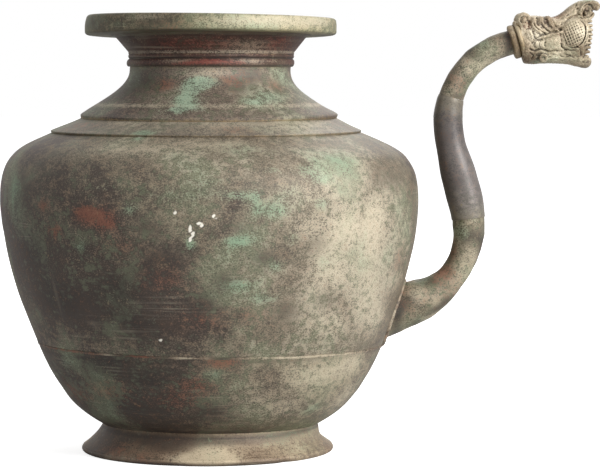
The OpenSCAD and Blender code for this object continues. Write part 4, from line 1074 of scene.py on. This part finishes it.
# Painted light and shade: the shade spots make the rim lighter at its right end, where the key lamp falls, and darker
# on its left; the dark band along its lower edge is painted shade.
rimPaint = {
    "shade": [(-44, 255, 40, 12, 0.5), (-74, 255, 24, 12, 0.15), (-150, 255, 46, 12, -0.3),
              (90, 256, 50, 12, -0.1)],
    "soot": [(-160, 255, 20, 6, 0.5), (-98, 250.4, 50, 1.2, 0.6), (-112, 255, 16, 4, 0.4),
             (110, 250, 40, 1.6, 0.7)],
    "buff": [(-76, 256, 20, 4, 0.6), (-54, 256, 24, 5, 0.7), (-30, 256, 20, 4, 0.8), (-118, 258, 16, 2, 0.5),
             (60, 256, 24, 4, 0.6), (150, 256, 16, 4, 0.5)],
    "verdigris": [(-64, 253, 12, 2.4, 0.3), (-130, 254, 10, 2.4, 0.5), (90, 254, 16, 3, 0.7)],
    "copper": [(-104, 254, 8, 3, 0.3), (20, 255, 10, 3, 0.5)],
}
# Painted light and shade: the shade spots make the seam bead lighter on its right front and darker on its left.
seamPaint = {
    "shade": [(-55, 66, 44, 6, 0.4), (-130, 66, 60, 6, -0.2)],
    "buff": [(-62, 65, 22, 4, 0.7), (-38, 65, 30, 4, 0.6), (-96, 66, 8, 4, 0.7), (-122, 66, 6, 4, 0.7),
             (60, 66, 40, 4, 0.6)],
    "copper": [(-140, 66, 30, 4, 0.8), (-110, 66, 10, 4, 0.7), (110, 66, 40, 4, 0.7)],
    "soot": [(-112, 66, 26, 4, 0.6), (-84, 66, 8, 4, 0.7), (-146, 66, 20, 4, 0.5), (70, 66, 30, 4, 0.6),
             (160, 66, 30, 4, 0.6)],
}


# On the spout the painted places are given as points in space instead: (x, y, z), reach and amount.
def paintAt(piece, layer, spots):
    points, _ = meshArrays(piece.data)
    values = np.empty(len(points))
    attribute = piece.data.attributes[layer]
    attribute.data.foreach_get("value", values)
    for place, reach, much in spots:
        far = (((points - np.array(place)) / np.array(reach)) ** 2).sum(1)
        values += much * np.exp(-far * 1.2)
    attribute.data.foreach_set("value", np.clip(values, 0, 1))


paint(footRing, footPaint, edgesAndHollows=(0.4, 0.8))
# Painted shade: the fillet in the crease under the bowl is darkened.
paint(footBraze, {"soot": [(None, 15, 1, 8, 0.6)]})
paint(lowerBowl, bowlPaint)
paint(bellyBraze, seamPaint)
paint(upperBody, bodyPaint)
paint(shoulderCollar, collarPaint, edgesAndHollows=(0.5, 0.5))
paint(neckPiece, neckPaint, edgesAndHollows=(0.5, 0.5))
paint(neckBand, bandPaint, edgesAndHollows=(0.4, 1.2))
paint(mouthFunnel, funnelPaint)
# Painted shade: the fillet under the rim is darkened.
paint(rimBraze, {"soot": [(None, 248, 1, 4, 0.6)]})
paint(rimRing, rimPaint, edgesAndHollows=(0.4, 0.5))
paint(spoutBraze, {}, wide={"buff": (0.45, 0.8, 0.25), "soot": (0.1, 1.2, 0.3), "copper": (0.1, 0.9, 0.2)})
paint(spoutElbow, {}, wide={"shade": (0.1, 0.6, 0.05), "verdigris": (0.0, 0.8, 0.08),
                            "copper": (-0.05, 0.6, 0.06), "soot": (0.05, 1.0, 0.09), "buff": (0.05, 0.8, 0.1)})
paintAt(spoutElbow, "copper", [((141, 0, 106), (7, 14, 7), 1.2), ((146, 0, 120), (4, 12, 8), 0.7),
                               ((118, 0, 92), (4, 20, 10), 0.5)])
paintAt(spoutElbow, "soot", [((112, 0, 84), (4, 40, 40), 0.6), ((164, 0, 122), (5, 14, 13), 0.9),
                             ((150, 0, 96), (8, 14, 6), 0.4)])
paint(spoutShaft, {}, wide={"shade": (0.0, 0.5, 0.03), "soot": (0.0, 0.5, 0.05)})
paintAt(spoutShaft, "buff", [((155.4, 0, 139), (14, 14, 9), 1.2), ((144.8, 0, 211), (14, 14, 13), 1.1)])
paintAt(spoutShaft, "shade", [((144.8, 0, 211), (14, 14, 11), 0.3)])
paintAt(spoutShaft, "soot", [((155.4, 0, 139), (14, 14, 1.0), 0.5)])
paint(spoutCrook, {}, wide={"shade": (0.15, 0.6, 0.06), "verdigris": (0.0, 0.8, 0.08),
                            "copper": (0.0, 0.6, 0.07), "soot": (0.0, 0.8, 0.1), "buff": (0.15, 0.9, 0.09)})
paintAt(spoutCrook, "soot", [((145, 0, 212.5), (12, 12, 1.0), 0.4), ((178, 0, 243), (2.5, 12, 12), 0.9)])
paintAt(spoutCrook, "shade", [((145, 0, 213), (14, 14, 12), -0.35)])
paintAt(spoutCrook, "buff", [((150, -7, 236), (4, 5, 5), 0.9)])
paint(spoutFerrule, {}, wide={"shade": (-0.05, 0.5, 0.1), "soot": (0.0, 1.0, 0.14)}, edgesAndHollows=(1.0, 1.5))
paint(makaraHead, {}, wide={"shade": (0.0, 0.7, 0.09), "soot": (-0.1, 0.7, 0.1), "copper": (-0.1, 0.5, 0.12)},
      edgesAndHollows=(0.5, 4.2), rounds=26)
# Painted shade: the head darker underneath and at its back.
paintAt(makaraHead, "shade", [((192, 0, 234), (15, 20, 8), -0.35), ((214, 0, 232), (14, 20, 5), -0.2)])
paintAt(makaraHead, "verdigris", [((226, 0, 269), (10, 8, 4), 0.8), ((228, 0, 240), (5, 12, 6), 0.6),
                                  ((198, 0, 232), (8, 14, 4), 0.5)])
# Painted shade: darker under the head and inside the open mouth.
paintAt(makaraHead, "soot", [((226, 0, 231), (7, 12, 4), 0.6), ((225, 0, 262.5), (3, 7, 3.4), 0.8),
                             ((188, -9, 232), (5, 8, 6), 0.5), ((188, 9, 232), (5, 8, 6), 0.5),
                             ((216, 0, 247), (14, 6, 9), 0.9)])
paintAt(makaraHead, "copper", [((190, -9, 254), (5, 6, 4), 0.6), ((190, 9, 254), (5, 6, 4), 0.6),
                               ((206, 0, 260), (6, 9, 4), 0.4)])
print("patina painted")

floorBm = bmesh.new()
bmesh.ops.create_grid(floorBm, x_segments=2, y_segments=2, size=12)
floorMesh = bpy.data.meshes.new("floor")
floorBm.to_mesh(floorMesh)
floorBm.free()
floor = bpy.data.objects.new("floor", floorMesh)
bpy.context.scene.collection.objects.link(floor)
floorLook = bpy.data.materials.new("pale floor")
floorLook.use_nodes = True
tree = floorLook.node_tree
shader = next(n for n in tree.nodes if n.type == "BSDF_PRINCIPLED")
shader.inputs["Base Color"].default_value = (0.8, 0.8, 0.8, 1)
shader.inputs["Roughness"].default_value = 0.9
shader.inputs["Specular IOR Level"].default_value = 0.0
seen = wire(tree, "ShaderNodeLightPath").outputs["Is Camera Ray"]
shader.inputs["Emission Color"].default_value = (1, 1, 1, 1)
here = wire(tree, "ShaderNodeTexCoord").outputs["Object"]
away = wire(tree, "ShaderNodeVectorMath", {"operation": "LENGTH"}, i0=here)
tree.links.new(calc(tree, "MULTIPLY", seen, ramp(tree, away.outputs["Value"], 0.2, 0.7, 0.78, 1.0)),
               shader.inputs["Emission Strength"])
floorMesh.materials.append(floorLook)

world = bpy.data.worlds.new("studio")
bpy.context.scene.world = world
world.use_nodes = True
tree = world.node_tree
ground = next(n for n in tree.nodes if n.type == "BACKGROUND")
rays = wire(tree, "ShaderNodeLightPath")
seen = calc(tree, "MAXIMUM", rays.outputs["Is Camera Ray"], rays.outputs["Is Glossy Ray"])
tree.links.new(ramp(tree, seen, 0.0, 1.0, 0.31, 1.0, False), ground.inputs["Strength"])
ground.inputs["Color"].default_value = (1, 1, 1, 1)

lamps = {
    "key": {"place": (1.5, -1.3, 1.05), "aim": (0.03, 0, 0.15), "size": 0.9, "power": 50},
    "fill": {"place": (-1.6, -1.4, 0.9), "aim": (0, 0, 0.12), "size": 1.6, "power": 2},
    "back": {"place": (0.4, 1.7, 1.6), "aim": (0, 0, 0.15), "size": 1.4, "power": 16},
}
for name, lamp in lamps.items():
    data = bpy.data.lights.new(name, "AREA")
    data.shape, data.size, data.energy = "DISK", lamp["size"], lamp["power"]
    obj = bpy.data.objects.new(name, data)
    obj.location = lamp["place"]
    obj.rotation_euler = (Vector(lamp["aim"]) - Vector(lamp["place"])).to_track_quat("-Z", "Y").to_euler()
    bpy.context.scene.collection.objects.link(obj)

view = {"place": (0.0543, -1.6, 0.226), "down": 3.48, "lens": 160.3}
cameraData = bpy.data.cameras.new("camera")
cameraData.lens, cameraData.sensor_width = view["lens"], 36
camera = bpy.data.objects.new("camera", cameraData)
camera.location = view["place"]
camera.rotation_euler = (math.radians(90 - view["down"]), 0, 0)
bpy.context.scene.collection.objects.link(camera)
bpy.context.scene.camera = camera
bpy.context.scene.view_settings.view_transform = "Standard"
